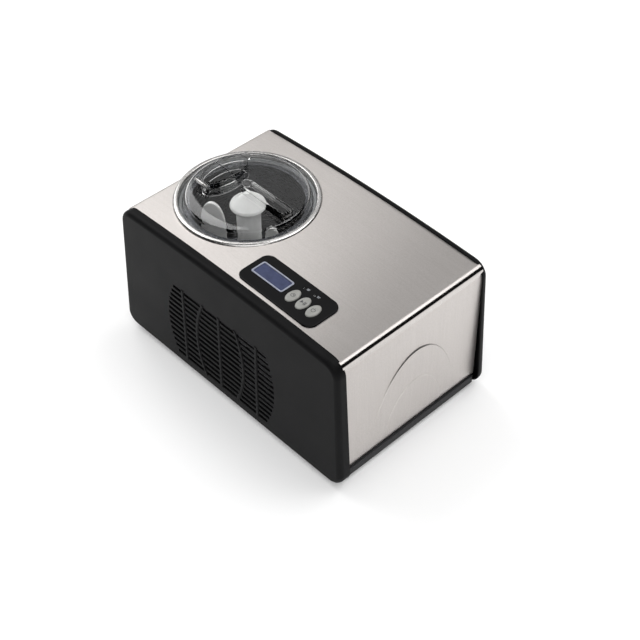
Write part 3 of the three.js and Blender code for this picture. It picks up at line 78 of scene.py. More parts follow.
PANEL_FOOT = 7.0  # the lower edge, which the feet hold clear of the table
PANEL_CORNER = 215.4  # height of the side panels' top corners
FLARE_X = 0.054  # how far a panel's ends spread for each millimetre down
FLARE_Y = 0.018  # how far its face leans out for each millimetre down
AXIS = middle_of("bowl_collar")  # upright line through the bowl
AXIS.z = 0
COLLAR_TOP = reach("bowl_collar")[1].z
LEDGE = COLLAR_TOP - 11.8  # carries the bowl's rim
BOWL_FLOOR = reach("removable_bowl")[0].z
PADDLE_FOOT = BOWL_FLOOR + 3.4
PADDLE_TURN = 214  # degrees, the way that the blades stand at rest
LID_BASE = reach("lid")[0].z
LID_RADIUS = (reach("lid")[1].x - reach("lid")[0].x) / 2
LID_TOP = LID_BASE + 18.1
NECK_TOP = LID_TOP + 9.4
GRIP_TOP = LID_TOP + 11.4
NECK_X = AXIS.x - 44.5
NECK_HALF = (19.5, 38)  # half the oval neck's width and length
HINGE_Y = -41.6
HINGE_Z = NECK_TOP + 1.4
LID_WALL = 2.2
HINGE_BORE = 1.7  # radius, with room for the pin
BEZEL = middle_of("control_bezel")
BEZEL_HALF = reach("control_bezel")[1] - BEZEL  # half its length, width and depth
DISPLAY = middle_of("lcd_frame")
KEYS = {kind: middle_of(f"{kind}_button") for kind in ("timer", "start", "power")}
LAMPS = [middle_of(f"status_led_{n}") for n in (1, 2)]
ORIGIN = Vector((0, 0, 0))
AROUND = ((-225, -145, 0), (225, 145, 240))  # corners of a box with room round the machine


def crown_drop(x):
    """How far the arched top lies below its highest line."""
    radius = (STEEL_HALF**2 + CROWN_RISE**2) / (2 * CROWN_RISE)
    return radius - math.sqrt(radius**2 - x**2)


def top_share(z):
    """How much a point follows the arch of the top: nothing low down, all of it near the top."""
    return min(max((z - 170) / 20, 0), 1)


# ---------------------------------------------------------------- modelling helpers


def deselect():
    """Leaves nothing selected, in object mode."""
    if bpy.context.object and bpy.context.object.mode != "OBJECT":
        bpy.ops.object.mode_set(mode="OBJECT")
    bpy.ops.object.select_all(action="DESELECT")


def alone(piece):
    """Makes a piece the only one selected."""
    deselect()
    piece.select_set(True)
    bpy.context.view_layer.objects.active = piece


def settled(piece):
    """Applies a piece's place, turn and scale to its mesh."""
    alone(piece)
    bpy.ops.object.transform_apply(location=True, rotation=True, scale=True)
    return piece


def started_as(name):
    """Names the primitive that was just added and settles it."""
    bpy.context.object.name = name
    return settled(bpy.context.object)


def open_up(piece, action="DESELECT"):
    """Takes a piece into edit mode with nothing selected, or with everything."""
    alone(piece)
    bpy.ops.object.mode_set(mode="EDIT")
    bpy.ops.mesh.select_all(action=action)


def pick(piece, kind, test):
    """Selects the faces, edges or corners that pass a test, and nothing else."""
    open_up(piece)
    bpy.ops.mesh.select_mode(type=kind)
    mesh = bmesh.from_edit_mesh(piece.data)
    mesh.normal_update()
    parts = {"FACE": mesh.faces, "EDGE": mesh.edges, "VERT": mesh.verts}[kind]
    for part in parts:
        if test(part):
            part.select_set(True)
    bmesh.update_edit_mesh(piece.data)


def middle(edge):
    """The middle of an edge."""
    return (edge.verts[0].co + edge.verts[1].co) / 2


def runs(edge, axis):
    """Whether an edge runs along an axis."""
    along = (edge.verts[1].co - edge.verts[0].co).normalized()
    return abs(abs(along[axis]) - 1) < 0.02


def lies(edge, axis, *values):
    """Whether both ends of an edge lie in an upright or level plane, or in one of several."""
    return any(all(abs(corner.co[axis] - value) < 0.01 for corner in edge.verts)
               for value in values)


def sharp(edge):
    """Whether the two faces beside an edge meet at a crisp angle."""
    return len(edge.link_faces) == 2 and edge.calc_face_angle(0) > math.radians(60)


def block(name, low, high):
    """A box between two corners, with its place in its mesh."""
    low, high = Vector(low), Vector(high)
    deselect()
    bpy.ops.mesh.primitive_cube_add(size=1, location=(low + high) / 2, scale=high - low)
    return started_as(name)


def post(name, radius, low, high, centre, facets):
    """An upright cylinder between two heights."""
    deselect()
    place = (centre.x, centre.y, (low + high) / 2)
    bpy.ops.mesh.primitive_cylinder_add(
        vertices=facets, radius=radius, depth=high - low, location=place)
    return started_as(name)


def drawn(name, points, filled=True):
    """Draws a line point by point from the corner of a plane, and fills it if it is an outline."""
    deselect()
    bpy.ops.mesh.primitive_plane_add(size=1, location=points[0])
    piece = started_as(name)
    open_up(piece)
    bpy.ops.mesh.select_mode(type="VERT")
    bpy.ops.mesh.select_all(action="SELECT")
    bpy.ops.mesh.merge(type="CENTER")
    for start, end in zip(points, points[1:]):
        step = [b - a for a, b in zip(start, end)]
        bpy.ops.mesh.extrude_vertices_move(TRANSFORM_OT_translate={"value": step})
    bpy.ops.mesh.select_all(action="SELECT")
    if filled:
        bpy.ops.mesh.edge_face_add()
    bpy.ops.object.mode_set(mode="OBJECT")
    return piece


def eased(corners, steps=5, closed=True):
    """Points of an outline whose corners (u, v, radius) are rounded by their own radius."""
    points = []
    count = len(corners)
    for i, (u, v, *radius) in enumerate(corners):
        corner = Vector((u, v))
        inner = closed or 0 < i < count - 1
        if not inner or not radius or not radius[0]:
            points.append(corner)
            continue
        before = (Vector(corners[i - 1][:2]) - corner).normalized()
        after = (Vector(corners[(i + 1) % count][:2]) - corner).normalized()
        half = before.angle(after) / 2
        centre = corner + (before + after).normalized() * radius[0] / math.sin(half)
        start = corner + before * radius[0] / math.tan(half) - centre
        end = corner + after * radius[0] / math.tan(half) - centre
        turn = start.angle_signed(end)
        for k in range(steps + 1):
            points.append(centre + Matrix.Rotation(-turn * k / steps, 2) @ start)
    return points


def ellipse(half_x, half_y, centre=(0, 0), steps=64, start=0, end=360):
    """Points round an ellipse, or along part of it."""
    count = steps if end - start == 360 else steps + 1
    angles = [math.radians(start + (end - start) * k / steps) for k in range(count)]
    return [Vector((centre[0] + half_x * math.cos(a), centre[1] + half_y * math.sin(a)))
            for a in angles]


def oblong(half_x, half_y, radius, centre=(0, 0), steps=6):
    """Points round a rectangle with rounded corners."""
    x, y = centre
    corners = [(x - half_x, y - half_y), (x + half_x, y - half_y),
               (x + half_x, y + half_y), (x - half_x, y + half_y)]
    return eased([(*corner, radius) for corner in corners], steps)


def tidy(piece):
    """Merges doubles and points every face outwards."""
    open_up(piece, "SELECT")
    bpy.ops.mesh.remove_doubles(threshold=0.002)
    bpy.ops.mesh.normals_make_consistent(inside=False)
    bpy.ops.object.mode_set(mode="OBJECT")
    return piece


def extruded(piece, step):
    """Gives a flat face its thickness."""
    open_up(piece, "SELECT")
    bpy.ops.mesh.extrude_region_move(TRANSFORM_OT_translate={"value": step})
    return tidy(piece)


def slab(name, outline, low, high):
    """A plan outline made solid between two heights."""
    face = drawn(name, [(p.x, p.y, low) for p in outline])
    return extruded(face, (0, 0, high - low))


def wall(name, outline, front, back):
    """An outline seen from the front made solid from front to back."""
    face = drawn(name, [(p.x, front, p.y) for p in outline])
    return extruded(face, (0, back - front, 0))


def turned(name, section, centre, steps=96):
    """Draws half a section (radius, height) and spins it round an upright axis."""
    piece = drawn(name, [(centre.x + p[0], centre.y, p[1]) for p in section], filled=False)
    open_up(piece, "SELECT")
    bpy.ops.mesh.spin(steps=steps, angle=2 * math.pi, center=(centre.x, centre.y, 0),
                      axis=(0, 0, 1))
    return tidy(piece)


def softened(piece, test, width, segments):
    """Bevels the edges that pass a test."""
    pick(piece, "EDGE", test)
    bpy.ops.mesh.bevel(offset=width, segments=segments, profile=0.5, affect="EDGES",
                       clamp_overlap=True)
    bpy.ops.object.mode_set(mode="OBJECT")
    return piece


def sliced(piece, axis, places):
    """Cuts a piece across an axis at several places, so that it can bend there."""
    normal = [0, 0, 0]
    normal[axis] = 1
    open_up(piece)
    for value in places:
        bpy.ops.mesh.select_all(action="SELECT")
        bpy.ops.mesh.bisect(plane_co=[value * n for n in normal], plane_no=normal)
    bpy.ops.object.mode_set(mode="OBJECT")
    return piece


def rounded_slab(name, outline, low, top, width, segments):
    """A slab with its upper edge rounded over."""
    return softened(slab(name, outline, low, top), lambda e: lies(e, Z, top), width, segments)


def applied(piece, kind, **settings):
    """Adds a modifier with its settings and applies it."""
    modifier = piece.modifiers.new(kind.lower(), kind)
    for key, value in settings.items():
        setattr(modifier, key, value)
    alone(piece)
    bpy.ops.object.modifier_apply(modifier=modifier.name)
    return piece


def combined(piece, operation, others):
    """Joins other pieces to one, or cuts them from it, and uses them up."""
    for other in others:
        applied(piece, "BOOLEAN", operation=operation, object=other, solver="EXACT")
        bpy.data.objects.remove(other)
    return piece


def joined(piece, *others):
    """Joins other pieces to one."""
    return combined(piece, "UNION", others)


def cut(piece, *others):
    """Cuts other pieces from one."""
    return combined(piece, "DIFFERENCE", others)


def gathered(name, pieces):
    """Makes several loose pieces one object."""
    alone(pieces[0])
    for piece in pieces:
        piece.select_set(True)
    bpy.ops.object.join()
    pieces[0].name = name
    return pieces[0]


def copied(piece, name):
    """A copy with its own mesh."""
    twin = piece.copy()
    twin.data = piece.data.copy()
    twin.name = name
    bpy.context.scene.collection.objects.link(twin)
    return twin


def swung(piece, degrees, centre=(0, 0, 0), axis="Z"):
    """Turns a whole piece about an axis through a point."""
    turn = Matrix.Rotation(math.radians(degrees), 4, axis)
    piece.matrix_world = (
        Matrix.Translation(centre) @ turn @ Matrix.Translation(-Vector(centre)))
    return settled(piece)


def moved(piece, step):
    """Shifts a whole piece."""
    piece.location = step
    return settled(piece)


def caged(piece, where, counts=(33, 2, 13), low=AROUND[0], high=AROUND[1]):
    """Reshapes a piece with a lattice: each control point goes to where(point)."""
    low, high = Vector(low), Vector(high)
    size, centre = high - low, (low + high) / 2
    deselect()
    bpy.ops.object.add(type="LATTICE", location=centre)
    cage = bpy.context.object
    cage.scale = size
    cage.data.points_u, cage.data.points_v, cage.data.points_w = counts
    for way in "uvw":
        setattr(cage.data, f"interpolation_type_{way}", "KEY_LINEAR")
    for point in cage.data.points:
        target = where(centre + Vector(a * b for a, b in zip(point.co, size)))
        point.co_deform = [(a - b) / c for a, b, c in zip(target, centre, size)]
    bpy.context.view_layer.update()
    applied(piece, "LATTICE", object=cage)
    bpy.data.objects.remove(cage)
    return piece


def arched(piece):
    """Lets a piece made on a level top follow the arched one."""
    return caged(piece, lambda p: p - Vector((0, 0, crown_drop(p.x))))


def placed(piece, name, body, slot, *nodes, material=None, angle=32):
    """Brings a piece to metres, shades it, gives it its finish, hangs it on its body's empty, and
    hides the CAD nodes that it replaces.
    """
    piece.name = name
    piece.data.name = name
    piece.scale = (0.001,) * 3
    settled(piece)
    bpy.ops.object.shade_smooth_by_angle(angle=math.radians(angle))
    applied(piece, "WEIGHTED_NORMAL", keep_sharp=True)
    piece.data.materials.clear()
    piece.data.materials.append(material or FINISHES[slot])
    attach(piece, body)
    if nodes:
        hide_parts(*nodes)
    deselect()


# ---------------------------------------------------------------- side panels

PANEL_WALL = 2.2
THROUGH_FACE = (PANEL_FACE - 12, PANEL_FACE + 8)  # a cut between these goes right through it
GRILLE = Vector((-10, 0, 87))
GRILLE_HALF = (107.5, 63.7)  # half its length at the middle and half its height
GRILLE_ROWS, ROW_PITCH = 14, 9.1
OUTER_RIB, BOWED_RIB = 71.5, 46  # how far the ribs stand from its middle
SIDE_BOW, RIB_BOW = 16.5, 15  # how far its sides and the bowed ribs pull in at top and foot
LOUVRES = Vector((-60, 0, 92))  # in the rear panel's own frame, as the inlet is
INLET = Vector((-165, 0, 50))


def panel_place(point):
    """The side panel's arch, its spread ends and its leaning face."""
    below = PANEL_CORNER - point.z
    lean = FLARE_Y * below if point.y < (PANEL_FACE + REAR_BACK) / 2 else 0
    return Vector((point.x * (1 + FLARE_X * below / PANEL_HALF), point.y - lean,
                   point.z - top_share(point.z) * crown_drop(point.x)))


def leaning(piece):
    """Leans a piece made on an upright face with the side panel's face."""
    return caged(piece, lambda p: p - Vector((0, FLARE_Y * (PANEL_CORNER - p.z), 0)), (2, 2, 2))


def face_y(z):
    """Where the leaning face stands at one height."""
    return PANEL_FACE - FLARE_Y * (PANEL_CORNER - z)


def panel_shell(back):
    """A thin moulded cap, its face towards the user and its back open."""
    shell = block("panel", (-PANEL_HALF, PANEL_FACE, PANEL_FOOT), (PANEL_HALF, back, PANEL_TOP))
    softened(shell, lambda e: runs(e, Y), 20, 10)
    softened(shell, lambda e: lies(e, Y, PANEL_FACE), 7, 6)
    sliced(shell, X, BEND_LINES)
    caged(shell, panel_place, low=(AROUND[0][X], PANEL_FACE, 0),
          high=(AROUND[1][X], back, AROUND[1][Z]))
    pick(shell, "FACE", lambda f: f.normal.y > 0.99)
    bpy.ops.mesh.delete(type="FACE")
    applied(shell, "SOLIDIFY", thickness=PANEL_WALL, offset=-1, use_even_offset=True)
    centre = Vector((0, back, PANEL_CORNER / 2))

    def outer_rim(edge):
        return lies(edge, Y, back) and any(
            abs(f.normal.y) < 0.5 and f.normal.dot(middle(edge) - centre) > 0
            for f in edge.link_faces)

    return softened(shell, outer_rim, 0.5, 2)


def bow(z, bulge):
    """How far a bowed line of the grille pulls in above and below its middle."""
    radius = (GRILLE_HALF[1]**2 + bulge**2) / (2 * bulge)
    return math.sqrt(radius**2 - (z - GRILLE.z) ** 2) - radius


def rib_lines(z):
    """Where the sides of the grille and its ribs stand at one height."""
    side, bowed = GRILLE_HALF[0] + bow(z, SIDE_BOW), BOWED_RIB + bow(z, RIB_BOW)
    return [GRILLE.x + x for x in (-side, -OUTER_RIB, -bowed, 0, bowed, OUTER_RIB, side)]


def slot_cutter(left, right, z, half):
    """What cuts one slot through a side panel's face."""
    front, back = THROUGH_FACE
    return block("slot", (left, front, z - half), (right, back, z + half))


def grille_cutter():
    """Rows of slots, six to a row, with rounded ends."""
    slots = []
    for row in range(GRILLE_ROWS):
        z = GRILLE.z + (row - (GRILLE_ROWS - 1) / 2) * ROW_PITCH
        lines = rib_lines(z)
        for left, right in zip(lines, lines[1:]):
            slots.append(slot_cutter(left + 2.9, right - 2.9, z, 2.7))
    return softened(gathered("slots", slots), lambda e: runs(e, Y), 1.3, 3)


def grille_ribs():
    """Three straight ribs and two bowed ones, standing a little proud of the face."""
    low, high = GRILLE.z - GRILLE_HALF[1], GRILLE.z + GRILLE_HALF[1]
    crest = PANEL_FACE - 0.9
    ribs = []
    for x, side in ((-OUTER_RIB, 0), (0, 0), (OUTER_RIB, 0), (-BOWED_RIB, -1), (BOWED_RIB, 1)):
        x += GRILLE.x
        rib = block("rib", (x - 2.2, crest, low), (x + 2.2, PANEL_FACE + 1.5, high))
        softened(rib, lambda e: lies(e, Y, crest), 0.8, 3)
        if side:
            sliced(rib, Z, [low + 8 * k for k in range(1, 16)])
            caged(rib, lambda p: p + Vector((side * bow(p.z, RIB_BOW), 0, 0)), (2, 2, 17),
                  (x - 10, PANEL_FACE - 5, low), (x + 10, PANEL_FACE + 5, high))
        ribs.append(rib)
    return leaning(gathered("ribs", ribs))


def opening_edges(edge):
    """The outer edges of the openings in a side panel's face, clear of the panel's own rim."""
    return sharp(edge) and all(
        abs(v.co.y - face_y(v.co.z)) < 0.05 and 18 < v.co.z < 160 for v in edge.verts)


def front_panel():
    """The front panel, with the slots of its grille and the ribs between them."""
    panel = panel_shell(PANEL_BACK)
    cut(panel, grille_cutter())
    softened(panel, opening_edges, 0.45, 2)
    return joined(panel, grille_ribs())


def louvre_cutter():
    """Eight rows of outlet slots in three columns."""
    slots = []
    for row in range(8):
        for column in range(3):
            x, z = LOUVRES.x + (column - 1) * 49, LOUVRES.z + (row - 3.5) * 10
            slots.append(slot_cutter(x - 22, x + 22, z, 2.5))
    return softened(gathered("louvres", slots), lambda e: runs(e, Y), 1.6, 3)


def at_inlet(half_x, half_z, radius):
    """A rounded outline about the middle of the mains inlet."""
    return oblong(half_x, half_z, radius, (INLET.x, INLET.z))


def rear_panel():
    """The rear panel, with its outlet slots and the recess of the mains inlet, facing back."""
    panel = panel_shell(REAR_BACK)
    backing = leaning(wall("backing", at_inlet(19.5, 15.8, 4), PANEL_FACE + 1.5, PANEL_FACE + 5))
    recess = leaning(wall("recess", at_inlet(17.1, 13.3, 3.2), PANEL_FACE - 10, PANEL_FACE + 2))
    hole = wall("hole", at_inlet(14.1, 10.3, 2), PANEL_FACE - 10, PANEL_FACE + 15)
    joined(panel, backing)
    cut(panel, louvre_cutter(), recess, hole)
    softened(panel, opening_edges, 0.45, 2)
    return swung(panel, 180)


def inlet_socket():
    """The mains inlet: a flange in its recess and a socket with two cut corners."""
    flange = wall("flange", at_inlet(16.7, 12.9, 3), PANEL_FACE, PANEL_FACE + 1.7)
    softened(flange, lambda e: lies(e, Y, PANEL_FACE), 0.5, 2)
    body = wall("body", at_inlet(13.7, 10, 2), PANEL_FACE + 0.5, PANEL_FACE + 22)
    x, _, z = INLET
    shape = eased([(x - 11.2, z - 7.5, 1), (x + 11.2, z - 7.5, 1), (x + 11.2, z + 3.5, 1),
                   (x + 7.2, z + 7.5, 1), (x - 7.2, z + 7.5, 1), (x - 11.2, z + 3.5, 1)], 3)
    socket = wall("socket", shape, PANEL_FACE - 5, PANEL_FACE + 19)
    joined(flange, body)
    cut(flange, socket)
    softened(flange, lambda e: sharp(e) and lies(e, Y, PANEL_FACE), 0.4, 2)
    return swung(leaning(flange), 180)


def inlet_pins():
    """Three flat pins with rounded tips in the socket."""
    pins = []
    for x, z in ((-7, -1.5), (0, 2.5), (7, -1.5)):
        pin = block("pin", (INLET.x + x - 1, PANEL_FACE + 4, INLET.z + z - 2.5),
                    (INLET.x + x + 1, PANEL_FACE + 20, INLET.z + z + 2.5))
        pins.append(softened(pin, lambda e: lies(e, Y, PANEL_FACE + 4), 0.8, 3))
    return swung(leaning(gathered("pins", pins)), 180)


# ---------------------------------------------------------------- steel cover

ARCH_Y = 7  # the middle of the arches
# half width, height, base and depth at the crown, degrees that it leans in to fade at the foot
ARCHES = ((80, 150, 0, 1.7, 0.85), (55, 98, 0.92, 0.9, 1.5))


def arch_pressing(half_width, height, base, depth, lean):
    """A raised arch on the end of the cover, its step drawn out into a soft S. It leans in, so
    that it fades into the sheet towards the foot."""
    out = STEEL_HALF + base
    x, grow = out - 0.8, 1.6
    outline = ellipse(half_width + grow, height + grow, (ARCH_Y, 0), 48, 0, 180)
    pressing = drawn("arch", [(x, p.x, p.y) for p in outline])
    # how much larger the outline is than at mid slope, and the share of the depth reached
    for next_grow, share in ((1.0, 0.03), (0.6, 0.16), (0.2, 0.4), (-0.2, 0.66), (-0.6, 0.88),
                             (-1.0, 0.98), (-1.6, 1.0)):
        next_x = out + share * depth
        pick(pressing, "FACE", lambda f: abs(f.normal.x) > 0.99 and
             all(abs(v.co.x - x) < 0.001 for v in f.verts))
        bpy.ops.mesh.extrude_region_move(TRANSFORM_OT_translate={"value": (next_x - x, 0, 0)})
        bpy.ops.transform.resize(
            value=(1, (half_width + next_grow) / (half_width + grow),
                   (height + next_grow) / (height + grow)), center_override=(0, ARCH_Y, 0))
        x, grow = next_x, next_grow
    swung(tidy(pressing), lean, (out + depth, ARCH_Y, height), "Y")
    open_up(pressing, "SELECT")
    bpy.ops.mesh.bisect(plane_co=(0, 0, STEEL_FOOT), plane_no=(0, 0, 1), clear_inner=True,
                        use_fill=True)
    return tidy(pressing)


def cover_place(point):
    """The cover's arched top and its ends, which spread a little towards the foot."""
    spread = STEEL_FLARE * (STEEL_CORNER - point.z) / STEEL_HALF
    return Vector((point.x * (1 + spread), point.y,
                   point.z - top_share(point.z) * crown_drop(point.x)))


def steel_body():
    """The cover as a solid: bends along both ends, the pressed arches, the arched top."""
    front, rear = (corner.y for corner in reach("steel_cover"))
    body = block("cover", (-STEEL_HALF, front, STEEL_FOOT), (STEEL_HALF, rear, CROWN_TOP))
    softened(body, lambda e: runs(e, Y) and middle(e).z > 100, 8, 10)
    sliced(body, X, BEND_LINES)
    for arch in ARCHES:
        right = arch_pressing(*arch)
        left = swung(copied(right, "left_arch"), 180)
        joined(body, right, left)
    caged(body, cover_place)
    return cut(body, post("bowl_hole", BOWL_HOLE, 150, 260, AXIS, 96))


def steel_cover(body):
    """The solid opened below and at both sides, given the sheet's thickness and its window."""
    cover = copied(body, "cover_sheet")

    def open_side(face):
        centre = face.calc_center_median()
        under_bowl = (centre.xy - AXIS.xy).length < BOWL_HOLE + 0.5 and (
            centre.z < CROWN_TOP - 8 or abs(face.normal.z) < 0.5)
        return under_bowl or face.normal.z < -0.99 or abs(face.normal.y) > 0.99

    pick(cover, "FACE", open_side)
    bpy.ops.mesh.delete(type="FACE")
    applied(cover, "SOLIDIFY", thickness=STEEL_SHEET, offset=-1)
    window = slab("window", oblong(BEZEL_HALF.x - 6, BEZEL_HALF.y - 6, 7, BEZEL.xy), *THROUGH_TOP)
    return cut(cover, window)


# ---------------------------------------------------------------- base


def base_tray():
    """The moulded tray: rounded below, hollow above, with a sunk panel and vents underneath."""
    low, high = reach("base_tray")
    low.z = PANEL_FOOT
    top = STEEL_FOOT - 0.3
    tray = block("tray", low, (high.x, high.y, top))
    softened(tray, lambda e: runs(e, Z), 3, 5)
    softened(tray, lambda e: lies(e, Z, low.z), 1.8, 4)
    pick(tray, "FACE", lambda f: f.normal.z > 0.99)
    bpy.ops.mesh.inset(thickness=6)
    bpy.ops.mesh.extrude_region_move(TRANSFORM_OT_translate={"value": (0, 0, low.z + 3 - top)})
    tidy(tray)
    sunk = slab("sunk", oblong(high.x - 37, high.y - 37, 6), -5, low.z + 1)
    cut(tray, sunk)
    softened(tray, lambda e: sharp(e) and lies(e, Z, low.z, top), 0.5, 2)
    vents = [slab("vent", oblong(25, 2, 1.9, (140, 54 + 9 * k), 4), -5, 12)
             for k in range(-2, 3)]
    return cut(tray, gathered("vents", vents))


def foot_pad():
    """A soft foot with a ringed sole, on the origin."""
    section = eased([(0, 0.7), (5.2, 0.7, 0.3), (5.8, 0, 0.3), (9.2, 0, 0.8), (10, 1.6, 0.6),
                     (9.6, 4.7, 0.4), (4, 4.7), (4, 8.6, 0.4), (0, 8.6)], 3, closed=False)
    return turned("foot", section, ORIGIN, 40)


def tray_screws():
    """Cross-head screws in the tray's underside."""
    section = eased([(0, 4.4), (3, 4.4, 0.5), (3.4, 5.2), (0, 6)], 3, closed=False)
    head = turned("screw", section, ORIGIN, 24)
    for x, y in ((1.9, 0.35), (0.35, 1.9)):
        cut(head, block("cross", (-x, -y, 4), (x, y, 5)))
    spots = [(-190, 0), (190, 0), (-60, 100), (60, 100), (-60, -100), (60, -100)]
    heads = [moved(copied(head, "screw"), (x, y, 0)) for x, y in spots]
    bpy.data.objects.remove(head)
    return gathered("screws", heads)


# ---------------------------------------------------------------- bowl station


def collar(body):
    """The trim ring round the bowl, level on top and seated on the arched steel."""
    section = eased([
        (78.7, LEDGE - 3), (96.3, LEDGE - 3), (96.3, LEDGE), (99.5, LEDGE),
        (99.5, COLLAR_TOP, 4.2), (92, COLLAR_TOP, 1.6), (92, LEDGE, 0.6), (78.7, LEDGE, 0.6),
    ], 5)
    ring = turned("collar", [*section, section[0]], AXIS, 128)
    return cut(ring, body)


def lid_seal():
    """A soft ring with two lips between the lid's rim and the collar."""
    low, high = reach("lid_gasket")
    inner, outer = 87.4, 91.8
    section = eased([
        (inner, low.z), (outer, low.z), (outer, high.z - 1.4, 0.5), (outer - 1.6, high.z, 0.5),
        (outer - 2.5, high.z - 1, 0.4), (inner + 1.2, high.z, 0.5), (inner, high.z - 0.8, 0.3),
    ], 3)
    return turned("seal", [*section, section[0]], AXIS, 96)


def cream_bowl():
    """The lift-out bowl: a spun pan with a rolled rim and a chimney for the drive."""
    floor, rim = BOWL_FLOOR, LEDGE + 0.3
    top, bead = rim + 2.4, floor + 92
    section = eased([
        (7.8, floor), (78, floor, 9), (78, rim, 0.5), (87.4, rim, 1.1), (87.4, top, 1.2),
        (77, top, 1.2), (77, bead + 2), (76.3, bead, 1), (77, bead - 2), (77, floor + 1.2, 8),
        (9.2, floor + 1.2, 1), (9.2, floor + 56.6, 0.6), (7.8, floor + 56.6, 0.6),
    ], 5)
    return turned("bowl", [*section, section[0]], AXIS, 112)


# ---------------------------------------------------------------- paddle


def swept(start, control, end, steps=6):
    """Points along a curve pulled towards one control point, without its first point."""
    a, b, c = Vector(start), Vector(control), Vector(end)
    shares = [k / steps for k in range(1, steps + 1)]
    return [(1 - t) ** 2 * a + 2 * t * (1 - t) * b + t * t * c for t in shares]


def blade(inner, outer, top, web_rise):
    """One blade: a web beside the column, and a finger whose top is shaped like an egg."""
    foot, web = PADDLE_FOOT, BOWL_FLOOR + web_rise
    middle_r, half = (inner + outer) / 2, (outer - inner) / 2
    shoulder = top - 2.1 * half
    points = [Vector((13.5, foot)), Vector((67, foot))]
    points += swept((67, foot), (74, foot), (74, foot + 10))
    points += swept((74, foot + 10), (outer + 1, web - 8), (outer, web + 6))
    points += ellipse(half, top - shoulder, (middle_r, shoulder), 20, 0, 180)
    points += [Vector((inner, web + 12))]
    points += swept((inner, web + 12), (inner, web), (inner - 6, web))
    points += [Vector((13.5, web))]
    shape = wall("blade", points, -2.5, 2.5)
    return softened(shape, lambda e: sharp(e) and middle(e).x > 15, 1.4, 3)


def mixer():
    """The paddle: a column with a mushroom cap and two blades of different height."""
    foot, roof = PADDLE_FOOT, BOWL_FLOOR + 58.6
    rim, peak = LEDGE - 4, LEDGE + 18
    section = eased([
        (10.5, foot), (16.5, foot, 0.6), (16.5, rim - 7, 2), (18.5, rim - 4, 1.2),
        (23.8, rim - 2.2, 1), (24.8, rim, 1.2), (23.4, rim + 3.2, 2), (15, rim + 11, 5),
        (6, peak - 2.6, 3), (3.4, peak, 1.4), (0, peak), (0, roof), (10.5, roof), (10.5, foot),
    ], 4, closed=False)
    column = turned("mixer", section, ORIGIN, 64)
    tall = blade(33, 68, LEDGE - 8.5, 44.6)
    low = swung(blade(22, 42, LEDGE - 38.5, 34.6), 180)
    joined(column, tall, low)
    slit = block("slit", (5, -1.2, rim + 9), (14, 1.2, peak))
    hollow = post("hollow", 10.5, BOWL_FLOOR, roof, ORIGIN, 64)
    cut(column, hollow, slit)
    return moved(swung(column, PADDLE_TURN), AXIS)


# ---------------------------------------------------------------- lid


def hinge_rod(name, radius, half):
    """A rod along the flap's hinge, to the same length either side of its middle."""
    deselect()
    turn = Vector((1, 0, 0)).to_track_quat("Z", "Y").to_euler()
    bpy.ops.mesh.primitive_cylinder_add(
        vertices=32, radius=radius, depth=2 * half, location=(NECK_X, HINGE_Y, HINGE_Z),
        rotation=turn)
    return started_as(name)


def neck_outline(inset=0):
    """The oval of the neck and its flap, or one inside it."""
    return ellipse(NECK_HALF[0] - inset, NECK_HALF[1] - inset, (NECK_X, 0))


def grip_outline(inset=0):
    """The grip bar from above, from the middle of the lid to its far end, or one inside it."""
    x, far, half = AXIS.x, AXIS.x + 80 - inset, 9.5 - inset
    return eased([(x, -half), (far, -half, 3), (far, half, 3), (x, half)])


def hinge_ears():
    """Two ears at the near end of the neck that carry the flap's pin."""
    ears = []
    outline = eased([
        (-34, NECK_TOP - 10), (-34, NECK_TOP - 2), (-37, NECK_TOP - 2),
        (HINGE_Y + 2.8, HINGE_Z + 2.6, 1), (HINGE_Y - 2.8, HINGE_Z + 2.6, 2),
        (HINGE_Y - 2.8, HINGE_Z - 2.6, 1),
    ], 4)
    for x in (NECK_X - 9.9, NECK_X + 7.3):
        ear = drawn("ear", [(x, p.x, p.y) for p in outline])
        ears.append(softened(extruded(ear, (2.6, 0, 0)), sharp, 0.35, 2))
    return ears


